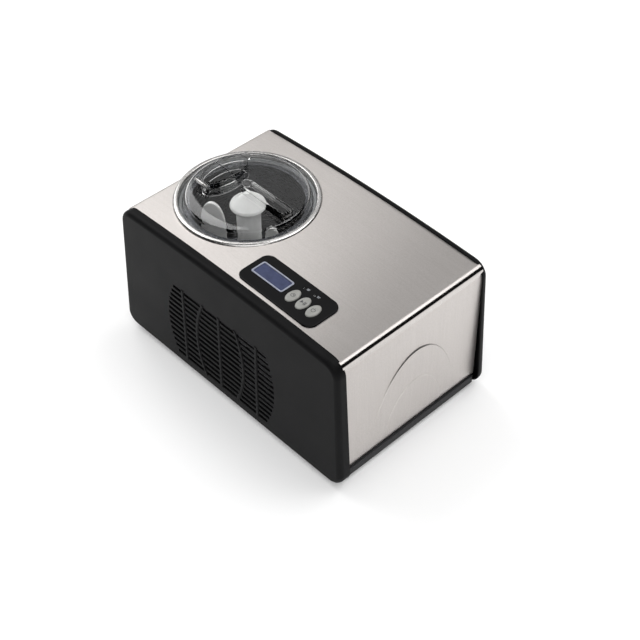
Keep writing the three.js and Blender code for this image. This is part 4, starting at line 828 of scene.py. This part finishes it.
def clear_lid():
    """One clear moulding: dome and skirt, filler neck, hollow grip bar and boss."""
    base, top = LID_BASE, LID_TOP
    foot, shoulder = LID_RADIUS - 2.8, LID_RADIUS - 5.3

    def crown(r):
        """The height of the dome at one radius."""
        return top + 2.2 - 1.6 * (r / 71) ** 2

    outer = eased([
        (foot - LID_WALL, base, 0.4), (LID_RADIUS, base, 0.5), (LID_RADIUS, base + 2.5, 0.7),
        (foot, base + 2.5, 0.6), (shoulder, top - 1, 5), (shoulder - 12, top + 0.6),
    ], 5, closed=False)
    dome = [Vector((r, crown(r))) for r in range(60, -1, -10)]
    under = [Vector((r, crown(r) - LID_WALL)) for r in range(0, 61, 10)]
    inner = eased([
        (shoulder - 12, top + 0.6 - LID_WALL), (shoulder - LID_WALL, top - 1 - LID_WALL, 3.5),
        (foot - LID_WALL, base, 0.4),
    ], 5, closed=False)
    lid = turned("lid", [*outer, *dome, *under, *inner], AXIS, 112)
    neck = slab("neck", neck_outline(), NECK_TOP - 23, NECK_TOP)
    softened(neck, lambda e: lies(e, Z, NECK_TOP, NECK_TOP - 23), 0.7, 3)
    grip = slab("grip", grip_outline(), top - 0.6, GRIP_TOP)
    softened(grip, lambda e: lies(e, Z, GRIP_TOP) and middle(e).x > AXIS.x + 1, 1.6, 4)
    boss = post("boss", 8, top - 0.6, GRIP_TOP + 1.5, AXIS, 40)
    softened(boss, lambda e: lies(e, Z, GRIP_TOP + 1.5), 1.4, 4)
    joined(lid, neck, grip, boss, *hinge_ears())
    mouth = slab("mouth", neck_outline(LID_WALL), NECK_TOP - 30, NECK_TOP + 5)
    grip_room = rounded_slab("grip_room", grip_outline(LID_WALL), top - 8, GRIP_TOP - LID_WALL,
                             1, 3)
    boss_room = post("boss_room", 5.8, top - 8, GRIP_TOP - 0.7, AXIS, 32)
    bore = hinge_rod("bore", HINGE_BORE, 15)
    return cut(lid, mouth, grip_room, boss_room, bore)


def filler_flap():
    """The clear flap over the neck, with its rib, lug and hinge barrel."""
    low, high = HINGE_Z - 1.1, HINGE_Z + 1.1
    flap = slab("flap", neck_outline(), low, high)
    softened(flap, lambda e: lies(e, Z, low, high), 0.5, 3)
    lug = softened(slab("lug", oblong(7, 6, 3, (NECK_X, NECK_HALF[1])), low, high), sharp, 0.4, 2)
    tongue = block("tongue", (NECK_X - 6, HINGE_Y, low), (NECK_X + 6, HINGE_Y + 12, high))
    rib = block("rib", (NECK_X - 16.5, -1, high - 0.5), (NECK_X + 16.5, 1, high + 1.6))
    softened(rib, lambda e: lies(e, Z, high + 1.6) or runs(e, Z), 0.6, 3)
    barrel = softened(hinge_rod("barrel", 3, 7), sharp, 0.4, 2)
    joined(flap, lug, tongue, rib, barrel)
    return cut(flap, hinge_rod("bore", HINGE_BORE, 15))


def flap_pin():
    """The pin that the flap turns on."""
    return softened(hinge_rod("pin", 1.4, 11), sharp, 0.5, 3)


# ---------------------------------------------------------------- control panel

DISPLAY_HALF = (28, 12)  # half the length and width of the display's border
KEY_HALF = (7.5, 12)
MARK_SCALE = 1.3  # how much larger a key's mark is than it is drawn


def display_outline(grow, radius):
    """The outline of the display's border, or one larger or smaller all round."""
    return oblong(DISPLAY_HALF[0] + grow, DISPLAY_HALF[1] + grow, radius, DISPLAY.xy)


def key_outline(key, grow=0):
    """The oval of a key, or one larger all round."""
    return ellipse(KEY_HALF[0] + grow, KEY_HALF[1] + grow, key.xy, 48)


def bezel():
    """The gloss black panel: a soft outer edge, a shallow step, and its openings."""
    top = CROWN_TOP + 2
    face = top - 0.3
    half_x, half_y = BEZEL_HALF.xy
    plate = rounded_slab("bezel", oblong(half_x, half_y, 13, BEZEL.xy, 8), CROWN_TOP + 0.3, top,
                         1.1, 4)
    pick(plate, "FACE", lambda f: f.normal.z > 0.99)
    bpy.ops.mesh.inset(thickness=3.2)
    bpy.ops.mesh.inset(thickness=0.5)
    bpy.ops.transform.translate(value=(0, 0, face - top))
    tidy(plate)
    plug = slab("plug", oblong(half_x - 6.4, half_y - 6.4, 6.6, BEZEL.xy), CROWN_TOP - 7, top - 1)
    joined(plate, plug)
    holes = [slab("hole", display_outline(0.3, 3.2), *THROUGH_TOP)]
    holes += [slab("hole", key_outline(key, 0.3), *THROUGH_TOP) for key in KEYS.values()]
    holes += [post("hole", 2.2, *THROUGH_TOP, spot, 24) for spot in LAMPS]
    cut(plate, *holes)
    softened(plate, lambda e: sharp(e) and lies(e, Z, face), 0.35, 2)
    sliced(plate, X, range(round(BEZEL.x - half_x) + 6, round(BEZEL.x + half_x), 8))
    return arched(plate)


def display_frame():
    """The pale border round the display."""
    top = CROWN_TOP + 2.1
    border = slab("border", display_outline(0, 3), CROWN_TOP - 1, top)
    cut(border, slab("opening", display_outline(-2.1, 1.6), *THROUGH_TOP))
    softened(border, lambda e: lies(e, Z, top), 0.5, 3)
    sliced(border, X, range(round(DISPLAY.x) - 24, round(DISPLAY.x) + 25, 8))
    return arched(border)


def display_glass():
    """The display's window, a little below its border."""
    glass = rounded_slab("glass", display_outline(-2.3, 1.5), CROWN_TOP - 5, CROWN_TOP + 1.5,
                         0.3, 2)
    sliced(glass, X, range(round(DISPLAY.x) - 20, round(DISPLAY.x) + 21, 8))
    return arched(glass)


def key_cap(key):
    """An oval key, softly rounded over its edge, with a slightly raised middle."""
    cap = rounded_slab("key", key_outline(key), CROWN_TOP - 6, CROWN_TOP + 3.1, 1.5, 5)
    pick(cap, "FACE", lambda f: f.normal.z > 0.99)
    for inset, rise in ((1.2, 0.2), (1.5, 0.1)):
        bpy.ops.mesh.inset(thickness=inset)
        bpy.ops.transform.translate(value=(0, 0, rise))
    return arched(tidy(cap))


def printed(key, outline):
    """One shape of a key's mark, drawn about the key's middle: a thin slab."""
    points = [key.xy + MARK_SCALE * Vector(p) for p in outline]
    return slab("mark", points, CROWN_TOP + 3.2, CROWN_TOP + 3.46)


def bar(left, low, right, high):
    """The four corners of a bar."""
    return [(left, low), (right, low), (right, high), (left, high)]


def key_mark(kind, key):
    """The sign on a key: a clock, a play and pause sign, or the standby sign."""
    parts = []
    if kind == "timer":
        ring, hole = (printed(key, ellipse(r, r, steps=32)) for r in (2.4, 1.8))
        parts.append(cut(ring, hole))
        outlines = [bar(-0.3, -0.3, 0.3, 1.3), bar(0.4, -0.3, 1.3, 0.3)]
    elif kind == "start":
        outlines = [[(-2.9, -2), (0.3, 0), (-2.9, 2)], bar(0.9, -2, 1.7, 2), bar(2.3, -2, 3.1, 2)]
    else:
        outer, inner = (ellipse(r, r, steps=24, start=125, end=415) for r in (2.4, 1.8))
        outlines = [[*outer, *reversed(inner)], bar(-0.35, 0.4, 0.35, 2.9)]
    parts += [printed(key, outline) for outline in outlines]
    return arched(gathered("marks", parts))


def lamp(spot):
    """A small domed lamp in the panel."""
    top = CROWN_TOP + 2.2 - crown_drop(spot.x)
    section = eased([(0, top - 9), (2, top - 9), (2, top, 1.3), (0, top)], 5, closed=False)
    return turned("lamp", section, spot, 24)


def lamp_marks():
    """Small printed bars beside the lamps."""
    bars = []
    for spot in LAMPS:
        for dx, dy, half in ((5.2, 2.4, 2.3), (5.0, 0.6, 1.7)):
            outline = oblong(half, 0.6, 0.5, spot.xy + Vector((dx, dy)), 3)
            bars.append(slab("bar", outline, CROWN_TOP + 1.5, CROWN_TOP + 1.76))
    return arched(gathered("bars", bars))


# ---------------------------------------------------------------- finishes


def linear(hex_colour):
    """A colour written as sRGB hex, in the linear values that a shader takes."""
    parts = [int(hex_colour[i:i + 2], 16) / 255 for i in (1, 3, 5)]
    return [c / 12.92 if c <= 0.04045 else ((c + 0.055) / 1.055) ** 2.4 for c in parts] + [1.0]


def add(tree, kind, inputs=None, **settings):
    """Adds a node, sets it up, and fills its inputs or links them to a socket or a node."""
    node = tree.nodes.new(kind)
    for key, value in settings.items():
        setattr(node, key, value)
    for key, value in (inputs or {}).items():
        if isinstance(value, bpy.types.Node):
            value = value.outputs[0]
        if isinstance(value, bpy.types.NodeSocket):
            tree.links.new(value, node.inputs[key])
        else:
            node.inputs[key].default_value = value
    return node


def emptied(owner):
    """The node tree of a material or a world, with nothing in it."""
    owner.use_nodes = True
    owner.node_tree.nodes.clear()
    return owner.node_tree


def started(name):
    """A new material's node tree, and coordinates on the piece in millimetres."""
    material = bpy.data.materials.new(name)
    tree = emptied(material)
    metres = add(tree, "ShaderNodeTexCoord").outputs["Object"]
    place = add(tree, "ShaderNodeVectorMath", {0: metres, "Scale": 1000.0}, operation="SCALE")
    return material, tree, place


def toned(tree, pattern, low, high, tones):
    """A colour that goes from one tone to another where a pattern rises from low to high."""
    share = add(tree, "ShaderNodeMapRange", {"Value": pattern, "From Min": low, "From Max": high})
    return add(tree, "ShaderNodeMix", {0: share, 6: linear(tones[0]), 7: linear(tones[1])},
               data_type="RGBA").outputs[2]


def moulded(name, tones, rough, grain, depth, ior, patch=45.0, coat=0.0):
    """A moulded plastic or rubber: slow shifts of tone and gloss over patches of the piece, and
    the fine grain of the mould. Sizes are in millimetres."""
    material, tree, place = started(name)
    slow = add(tree, "ShaderNodeTexNoise", {"Vector": place, "Scale": 1 / patch, "Detail": 4.0})
    fine = add(tree, "ShaderNodeTexNoise", {"Vector": place, "Scale": 1 / grain, "Detail": 2.0})
    pits = add(tree, "ShaderNodeTexVoronoi", {"Vector": place, "Scale": 1 / grain})
    height = add(tree, "ShaderNodeMath", {0: fine, 1: pits}, operation="ADD")
    satin = add(tree, "ShaderNodeMapRange", {
        "Value": slow, "From Min": 0.3, "From Max": 0.7, "To Min": rough[0], "To Max": rough[1]})
    relief = add(tree, "ShaderNodeBump", {"Height": height, "Distance": depth / 1000})
    shader = add(tree, "ShaderNodeBsdfPrincipled", {
        "Base Color": toned(tree, slow, 0.3, 0.7, tones), "Roughness": satin, "IOR": ior,
        "Coat Weight": coat, "Normal": relief})
    add(tree, "ShaderNodeOutputMaterial", {"Surface": shader})
    return material


def bare_metal(name, tones, rough, marks, depth, patch=60.0):
    """Bare metal: the marks of the tool that finished it, with the size in millimetres that they
    have along each axis, over slow shifts of tone."""
    material, tree, place = started(name)
    slow = add(tree, "ShaderNodeTexNoise", {"Vector": place, "Scale": 1 / patch, "Detail": 4.0})
    drawn_out = add(tree, "ShaderNodeVectorMath", {0: place, 1: marks}, operation="DIVIDE")
    lines = add(tree, "ShaderNodeTexNoise", {
        "Vector": drawn_out, "Scale": 1.0, "Detail": 4.0, "Roughness": 0.6})
    both = add(tree, "ShaderNodeMath", {0: slow, 1: lines}, operation="ADD")
    gloss = add(tree, "ShaderNodeMapRange", {
        "Value": lines, "From Min": 0.3, "From Max": 0.7, "To Min": rough[0], "To Max": rough[1]})
    relief = add(tree, "ShaderNodeBump", {"Height": lines, "Distance": depth / 1000})
    shader = add(tree, "ShaderNodeBsdfPrincipled", {
        "Base Color": toned(tree, both, 0.75, 1.25, tones), "Metallic": 1.0, "Roughness": gloss,
        "Normal": relief})
    add(tree, "ShaderNodeOutputMaterial", {"Surface": shader})
    return material


def clear_moulding(name, colour, rough, smudge, ior):
    """A clear plastic that lets the light of lamps through: faint smudges of the hands that
    lift it, and slow waves of the moulding 30 mm across."""
    material, tree, place = started(name)
    slow = add(tree, "ShaderNodeTexNoise", {"Vector": place, "Scale": 1 / smudge, "Detail": 3.0})
    wave = add(tree, "ShaderNodeTexNoise", {"Vector": place, "Scale": 1 / 30, "Detail": 1.0})
    gloss = add(tree, "ShaderNodeMapRange", {
        "Value": slow, "From Min": 0.45, "From Max": 0.75, "To Min": rough[0], "To Max": rough[1]})
    relief = add(tree, "ShaderNodeBump", {"Height": wave, "Distance": 0.05 / 1000})
    shader = add(tree, "ShaderNodeBsdfPrincipled", {
        "Base Color": linear(colour), "Transmission Weight": 1.0, "Roughness": gloss, "IOR": ior,
        "Normal": relief})
    shadow = add(tree, "ShaderNodeLightPath").outputs["Is Shadow Ray"]
    through = add(tree, "ShaderNodeBsdfTransparent", {"Color": linear("#f7f8f8")})
    mix = add(tree, "ShaderNodeMixShader", {0: shadow, 1: shader, 2: through})
    add(tree, "ShaderNodeOutputMaterial", {"Surface": mix})
    return material


def brushed_sheet():
    """Brushed stainless sheet: warm grey, with the lines of the belt along the machine, over the
    top and down both ends. The lines are 0.6 mm wide and faint, and spread the light of a lamp
    across them, to front and back, far more than along them. The press has burnished the bends
    along both ends, which throw back a crisp line of light."""
    material, tree, place = started("brushed_stainless_sheet")
    long_way = add(tree, "ShaderNodeVectorMath", {0: place, 1: (60.0, 0.6, 60.0)},
                   operation="DIVIDE")
    lines = add(tree, "ShaderNodeTexNoise", {
        "Vector": long_way, "Scale": 1.0, "Detail": 3.0, "Roughness": 0.6})
    patches = add(tree, "ShaderNodeTexNoise", {"Vector": place, "Scale": 1 / 110, "Detail": 2.0})
    speck = add(tree, "ShaderNodeTexNoise", {"Vector": place, "Scale": 1 / 1.6, "Detail": 2.0})
    both = add(tree, "ShaderNodeMath", {0: lines, 1: speck}, operation="ADD")
    tone = toned(tree, both, 0.7, 1.3, ("#c6c1bd", "#d3cecb"))
    worn = add(tree, "ShaderNodeMath", {0: lines, 1: patches}, operation="ADD")
    gloss = add(tree, "ShaderNodeMapRange", {
        "Value": worn, "From Min": 0.75, "From Max": 1.25, "To Min": 0.35, "To Max": 0.41})
    # how far the bends are burnished: 0.62 past their start and near the top, and 0 elsewhere
    axes = add(tree, "ShaderNodeSeparateXYZ", {0: place})
    outward = add(tree, "ShaderNodeMath", {0: axes.outputs["X"]}, operation="ABSOLUTE")
    out_there = add(tree, "ShaderNodeMapRange", {
        "Value": outward, "From Min": STEEL_HALF - 5.9, "From Max": STEEL_HALF - 2.9,
        "To Min": 0.0, "To Max": 0.62})
    up_there = add(tree, "ShaderNodeMapRange", {
        "Value": axes.outputs["Z"], "From Min": STEEL_CORNER - 13.8,
        "From Max": STEEL_CORNER - 9.8})
    burnished = add(tree, "ShaderNodeMath", {0: out_there, 1: up_there}, operation="MULTIPLY")
    still_rough = add(tree, "ShaderNodeMath", {0: 1.0, 1: burnished}, operation="SUBTRACT")
    gloss = add(tree, "ShaderNodeMath", {0: gloss, 1: still_rough}, operation="MULTIPLY")
    relief = add(tree, "ShaderNodeBump", {"Height": both, "Distance": 0.002 / 1000})
    spread = add(tree, "ShaderNodeCombineXYZ", {"Y": 1.0})
    shader = add(tree, "ShaderNodeBsdfPrincipled", {
        "Base Color": tone, "Metallic": 1.0, "Roughness": gloss, "Normal": relief,
        "Anisotropic": 0.8, "Tangent": spread})
    add(tree, "ShaderNodeOutputMaterial", {"Surface": shader})
    return material


def display_face():
    """A negative display that is off, behind its clear window: violet blue, with the faint grid
    of its cells, 0.7 mm apart."""
    material, tree, place = started("unlit_display_glass")
    waves = [add(tree, "ShaderNodeTexWave", {"Vector": place, "Scale": 1 / 0.7 / 6.283},
                 bands_direction=way) for way in "XY"]
    cells = add(tree, "ShaderNodeMath", dict(enumerate(waves)), operation="MULTIPLY")
    slow = add(tree, "ShaderNodeTexNoise", {"Vector": place, "Scale": 1 / 9, "Detail": 3.0})
    both = add(tree, "ShaderNodeMath", {0: cells, 1: slow}, operation="ADD")
    tone = toned(tree, both, 0.3, 1.2, ("#2a2f47", "#434a68"))
    shader = add(tree, "ShaderNodeBsdfPrincipled", {
        "Base Color": tone, "Roughness": 0.2, "IOR": 1.35})
    add(tree, "ShaderNodeOutputMaterial", {"Surface": shader})
    return material


def circuit_board():
    """Glass-fibre board: green solder mask over copper tracks 4 mm apart, which stand up a
    little and show paler through it."""
    material, tree, place = started("solder_mask_board")
    tracks = add(tree, "ShaderNodeTexBrick", {
        "Vector": place, "Scale": 1 / 4, "Color1": linear("#1d5a33"), "Color2": linear("#236b3c"),
        "Mortar": linear("#174a2a"), "Mortar Size": 0.08})
    fine = add(tree, "ShaderNodeTexNoise", {"Vector": place, "Scale": 1 / 1.5, "Detail": 3.0})
    gloss = add(tree, "ShaderNodeMapRange", {
        "Value": fine, "From Min": 0.3, "From Max": 0.7, "To Min": 0.3, "To Max": 0.45})
    relief = add(tree, "ShaderNodeBump", {"Height": tracks.outputs["Fac"], "Distance": 5e-5})
    shader = add(tree, "ShaderNodeBsdfPrincipled", {
        "Base Color": tracks, "Roughness": gloss, "IOR": 1.55, "Normal": relief})
    add(tree, "ShaderNodeOutputMaterial", {"Surface": shader})
    return material


FINISHES = {
    # Black ABS from a spark-eroded mould: near black, and so finely pitted that it throws back
    # little of the pale floor.
    "black_panel": moulded("spark_eroded_black_abs", ("#0e0e0f", "#141415"), (0.42, 0.5), 0.8,
                           0.012, 1.17),
    "steel_sheet": brushed_sheet(),
    # Buffed stainless steel: bright, with faint hairlines round it.
    "polished_trim": bare_metal("buffed_stainless", ("#d2d0cd", "#e2e0de"), (0.22, 0.3),
                                (15.0, 15.0, 2.5), 0.001),
    # Black polypropylene: duller and a little greyer than the side panels.
    "dark_tray": moulded("moulded_polypropylene", ("#1d1d1f", "#272729"), (0.5, 0.6), 1.0, 0.03,
                         1.35),
    # Soft black rubber with a dusty bloom.
    "rubber": moulded("black_silicone_rubber", ("#0e0e0f", "#171718"), (0.7, 0.85), 0.6, 0.03,
                      1.4),
    # Glass-filled nylon of the gearbox and the fan: dark grey and dull.
    "grey_plastic": moulded("glass_filled_nylon", ("#3d3d40", "#4c4c50"), (0.5, 0.62), 0.9, 0.03,
                            1.53),
    # Closed-cell insulation with a pebbled skin of cells 1.5 mm across, coloured black and matt so
    # that the inside seen through the grille's slots reads as shade: painted shade.
    "foam": moulded("foam_blackened_as_painted_shade", ("#161617", "#222223"), (0.85, 0.95), 1.5, 0.3, 1.5, 25),
    # Rolled aluminium: pale, with soft lines from the rolls.
    "aluminium": bare_metal("rolled_aluminium", ("#b0b3b6", "#c3c5c8"), (0.32, 0.45),
                            (40.0, 40.0, 2.0), 0.01),
    # Drawn copper tube, with patches of brown oxide.
    "copper": bare_metal("drawn_copper", ("#b06b3f", "#c98155"), (0.25, 0.42), (6.0, 6.0, 6.0),
                         0.03, 18),
    # Zinc-plated steel: bluish grey, with a fine even bloom.
    "machined_steel": bare_metal("zinc_plated_steel", ("#96999c", "#b2b5b8"), (0.3, 0.45),
                                 (1.2, 1.2, 9.6), 0.01),
    # Styrene acrylonitrile: water clear and glossy.
    "clear_plastic": clear_moulding("clear_san", "#fdfdfd", (0.0, 0.04), 22, 1.42),
    # White polypropylene: slightly waxy, with slow flow marks.
    "white_plastic": moulded("white_polypropylene", ("#f4f4f2", "#fafaf8"), (0.32, 0.42), 2.5,
                             0.02, 1.49, 30),
    # Acetal gears: cream and waxy.
    "gear_plastic": moulded("cream_acetal", ("#d6d1c0", "#e2ddcd"), (0.35, 0.45), 1.5, 0.02,
                            1.48, 20),
    # Baked black enamel on the compressor, with orange peel 3 mm across.
    "black_enamel": moulded("baked_black_enamel", ("#121213", "#1a1a1b"), (0.22, 0.32), 3.0,
                            0.05, 1.5, 40, 0.3),
    # Polished black acrylic: deep gloss with the slightest waviness.
    "gloss_black": moulded("polished_black_acrylic", ("#060607", "#0a0a0b"), (0.1, 0.16), 20.0,
                           0.01, 1.27),
    "lcd_glass": display_face(),
    # Pale grey ABS keys with a satin touch.
    "key_grey": moulded("satin_grey_abs", ("#82827e", "#91918d"), (0.35, 0.45), 0.7, 0.012, 1.5,
                        8),
    "board_green": circuit_board(),
}
# Aluminium pan, turned, with a soft sheen, its metal darkened to charcoal so that the inside of
# the bowl under the lid reads as shaded: painted shade.
BOWL_PAINTED_SHADE = bare_metal("bowl_metal_darkened_as_painted_shade", ("#4d4e51", "#5b5c60"), (0.2, 0.3),
                  (14.0, 14.0, 1.5), 0.003)
# Undyed silicone seal: pale, waxy and a little smoky.
SEAL = moulded("undyed_silicone", ("#7f8182", "#939596"), (0.4, 0.5), 0.8, 0.02, 1.4, 20)
# Silvered line round the display.
BORDER = bare_metal("silvered_border", ("#a4a8b8", "#b9bdcb"), (0.3, 0.4), (1.0, 1.0, 1.0), 0.004,
                    10)
# Inks of the marks on the keys and beside the lamps: matt films a few microns thick.
MARK = moulded("printed_grey_ink", ("#2e2e32", "#3a3a3f"), (0.45, 0.6), 0.6, 0.004, 1.5, 4)
PALE_MARK = moulded("printed_pale_ink", ("#75787c", "#8a8d91"), (0.45, 0.6), 0.6, 0.004, 1.5, 4)
# Clear resin of the lamps, a little smoky.
LAMP = clear_moulding("clear_lamp_resin", "#c9cccb", (0.05, 0.12), 3, 1.5)
# Nickel-plated brass of the inlet's pins: warm and bright.
PIN = bare_metal("nickel_plated_brass", ("#c9c3b4", "#dad5c8"), (0.15, 0.25), (0.8, 5.0, 0.8),
                 0.004)

INSIDE = {  # the CAD's own pieces, by their finish
    "aluminium": ("cooling_well", "condenser"),
    "gear_plastic": ("shaft_bearing", "output_gear", "idler_gear"),
    "copper": ("evaporator_coil", "filter_drier", "discharge_pipe", "liquid_pipe",
               "capillary_tube", "suction_pipe"),
    "foam": ("insulation_jacket",),
    "grey_plastic": ("gearbox_base", "gearbox_cover", "fan_shroud", "fan"),
    "machined_steel": ("drive_motor", "fan_motor", "drive_shaft", "motor_pinion"),
    "black_enamel": ("compressor",),
    "rubber": ("compressor_mount_1", "compressor_mount_2", "compressor_mount_3"),
    "board_green": ("control_board",),
}
for finish, nodes in INSIDE.items():
    for node in nodes:
        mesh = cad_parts[node].data
        mesh.materials.clear()
        mesh.materials.append(FINISHES[finish])

# ---------------------------------------------------------------- assembly

placed(front_panel(), "front_panel", "housing", "black_panel", "front_side_panel")
placed(rear_panel(), "rear_panel", "housing", "black_panel", "rear_side_panel")
placed(inlet_socket(), "inlet_socket", "housing", "black_panel", "power_inlet")
placed(inlet_pins(), "inlet_pins", "housing", "machined_steel", material=PIN)
solid = steel_body()
placed(steel_cover(solid), "cover_sheet", "housing", "steel_sheet", "steel_cover", angle=25)
placed(base_tray(), "tray", "housing", "dark_tray", "base_tray")
placed(tray_screws(), "tray_screws", "housing", "machined_steel")
pad = foot_pad()
for n in range(1, 5):
    foot = moved(copied(pad, "foot"), middle_of(f"foot_{n}") * Vector((1, 1, 0)))
    placed(foot, f"foot_pad_{n}", "housing", "rubber", f"foot_{n}")
bpy.data.objects.remove(pad)
placed(collar(solid), "trim_ring", "housing", "polished_trim", "bowl_collar")
placed(lid_seal(), "lid_seal", "housing", "rubber", "lid_gasket", material=SEAL)
placed(cream_bowl(), "cream_bowl", "bowl_body", "aluminium", "removable_bowl", material=BOWL_PAINTED_SHADE)
placed(mixer(), "mixing_paddle", "paddle_body", "white_plastic", "paddle", angle=40)
placed(clear_lid(), "clear_lid", "lid_body", "clear_plastic", "lid")
placed(filler_flap(), "neck_flap", "flap", "clear_plastic", "filler_flap")
placed(flap_pin(), "hinge_pin", "lid_body", "polished_trim", "flap_pin")
placed(bezel(), "panel_bezel", "housing", "gloss_black", "control_bezel")
placed(display_frame(), "display_border", "housing", "key_grey", "lcd_frame", material=BORDER)
placed(display_glass(), "display_window", "housing", "lcd_glass", "lcd_module")
for kind, key in KEYS.items():
    body = f"{kind}_key"
    placed(key_cap(key), f"{kind}_cap", body, "key_grey", f"{kind}_button")
    placed(key_mark(kind, key), f"{kind}_mark", body, "grey_plastic", material=MARK)
for n, spot in enumerate(LAMPS, 1):
    placed(lamp(spot), f"lamp_{n}", "housing", "clear_plastic", f"status_led_{n}", material=LAMP)
placed(lamp_marks(), "lamp_marks", "housing", "key_grey", material=PALE_MARK)

# ---------------------------------------------------------------- floor, light and camera

WHITE = linear("#ffffff")
FLOOR_GLOW = 0.14  # evens out the far floor, which the lamps don't reach
AMBIENT = 0.66  # light from all round on what isn't glossy
MIRRORED = 0.24  # the dim room that gloss reflects
ROOM = (
    # azimuth, elevation, inner and outer half angle, change of the mirrored level
    (38, 18, 30, 66, -0.24),
    (-110, 40, 34, 74, -0.23),
    (122, 48, 6, 26, 0.4),
)


def pale_floor():
    """A plain floor that takes the soft shadow and runs out to white."""
    deselect()
    bpy.ops.mesh.primitive_plane_add(size=30, location=(0, 0, 0))
    floor = bpy.context.object
    floor.name = "floor"
    material = bpy.data.materials.new("pale_floor")
    tree = emptied(material)
    ray = add(tree, "ShaderNodeLightPath").outputs
    either = add(tree, "ShaderNodeMath", {0: ray["Is Camera Ray"], 1: ray["Is Glossy Ray"]},
                 operation="MAXIMUM")
    seen = add(tree, "ShaderNodeMath", {0: either, 1: ray["Is Transmission Ray"]},
               operation="MAXIMUM")
    glow = add(tree, "ShaderNodeMath", {0: seen, 1: FLOOR_GLOW}, operation="MULTIPLY")
    plain = add(tree, "ShaderNodeBsdfDiffuse", {"Color": linear("#ebebeb")})
    lift = add(tree, "ShaderNodeEmission", {"Color": WHITE, "Strength": glow})
    both = add(tree, "ShaderNodeAddShader", {0: plain, 1: lift})
    add(tree, "ShaderNodeOutputMaterial", {"Surface": both})
    floor.data.materials.append(material)


def studio():
    """White where the camera looks, even light on plain surfaces and through clear ones, and a
    dim room for gloss to reflect, with a pale corner behind the lid."""
    world = bpy.data.worlds.new("studio")
    bpy.context.scene.world = world
    tree = emptied(world)
    way = add(tree, "ShaderNodeTexCoord").outputs["Generated"]
    level = add(tree, "ShaderNodeValue").outputs[0]
    level.default_value = MIRRORED
    for azimuth, elevation, inner, outer, change in ROOM:
        turn, lift = math.radians(azimuth), math.radians(elevation)
        spot = (math.cos(turn) * math.cos(lift), math.sin(turn) * math.cos(lift), math.sin(lift))
        dot = add(tree, "ShaderNodeVectorMath", {0: way, 1: spot}, operation="DOT_PRODUCT")
        share = add(tree, "ShaderNodeMapRange", {
            "Value": dot.outputs["Value"], "From Min": math.cos(math.radians(outer)),
            "From Max": math.cos(math.radians(inner)),
        }, interpolation_type="SMOOTHSTEP")
        level = add(tree, "ShaderNodeMath", {0: share, 1: change, 2: level},
                    operation="MULTIPLY_ADD").outputs[0]
    ray = add(tree, "ShaderNodeLightPath").outputs
    even = add(tree, "ShaderNodeBackground", {"Color": WHITE, "Strength": AMBIENT})
    room = add(tree, "ShaderNodeBackground", {"Color": WHITE, "Strength": level})
    white = add(tree, "ShaderNodeBackground", {"Color": WHITE, "Strength": 1.0})
    lit = add(tree, "ShaderNodeMixShader", {0: ray["Is Glossy Ray"], 1: even, 2: room})
    sky = add(tree, "ShaderNodeMixShader", {0: ray["Is Camera Ray"], 1: lit, 2: white})
    add(tree, "ShaderNodeOutputWorld", {"Surface": sky})


def soft_box(name, place, size, power):
    """A large square soft lamp that faces the object."""
    lamp_data = bpy.data.lights.new(name, "AREA")
    lamp_data.shape = "RECTANGLE"
    lamp_data.size = lamp_data.size_y = size
    lamp_data.energy = power
    light = bpy.data.objects.new(name, lamp_data)
    light.location = place
    away = light.location - Vector((0, 0, 0.1))
    light.rotation_euler = away.to_track_quat("Z", "Y").to_euler()
    bpy.context.scene.collection.objects.link(light)


def camera():
    """The camera, above the near right corner."""
    data = bpy.data.cameras.new("camera")
    data.lens = 75.1
    data.sensor_width = 36
    view = bpy.data.objects.new("camera", data)
    place, aim = Vector((0.9573, -0.8744, 1.3416)), Vector((0.0376, -0.0005, 0.0896))
    turn = (place - aim).to_track_quat("Z", "Y").to_matrix().to_4x4()
    roll = Matrix.Rotation(math.radians(-0.263), 4, "Z")
    view.matrix_world = Matrix.Translation(place) @ turn @ roll
    bpy.context.scene.collection.objects.link(view)
    bpy.context.scene.camera = view


pale_floor()
studio()
soft_box("left", (-1.72, -0.06, 1.8), 1.8, 26)
soft_box("overhead", (0.5, 1.05, 2.2), 1.6, 20)
soft_box("fill", (1.1, -1.0, 1.9), 1.7, 12)
camera()
bpy.context.scene.view_settings.view_transform = "Standard"
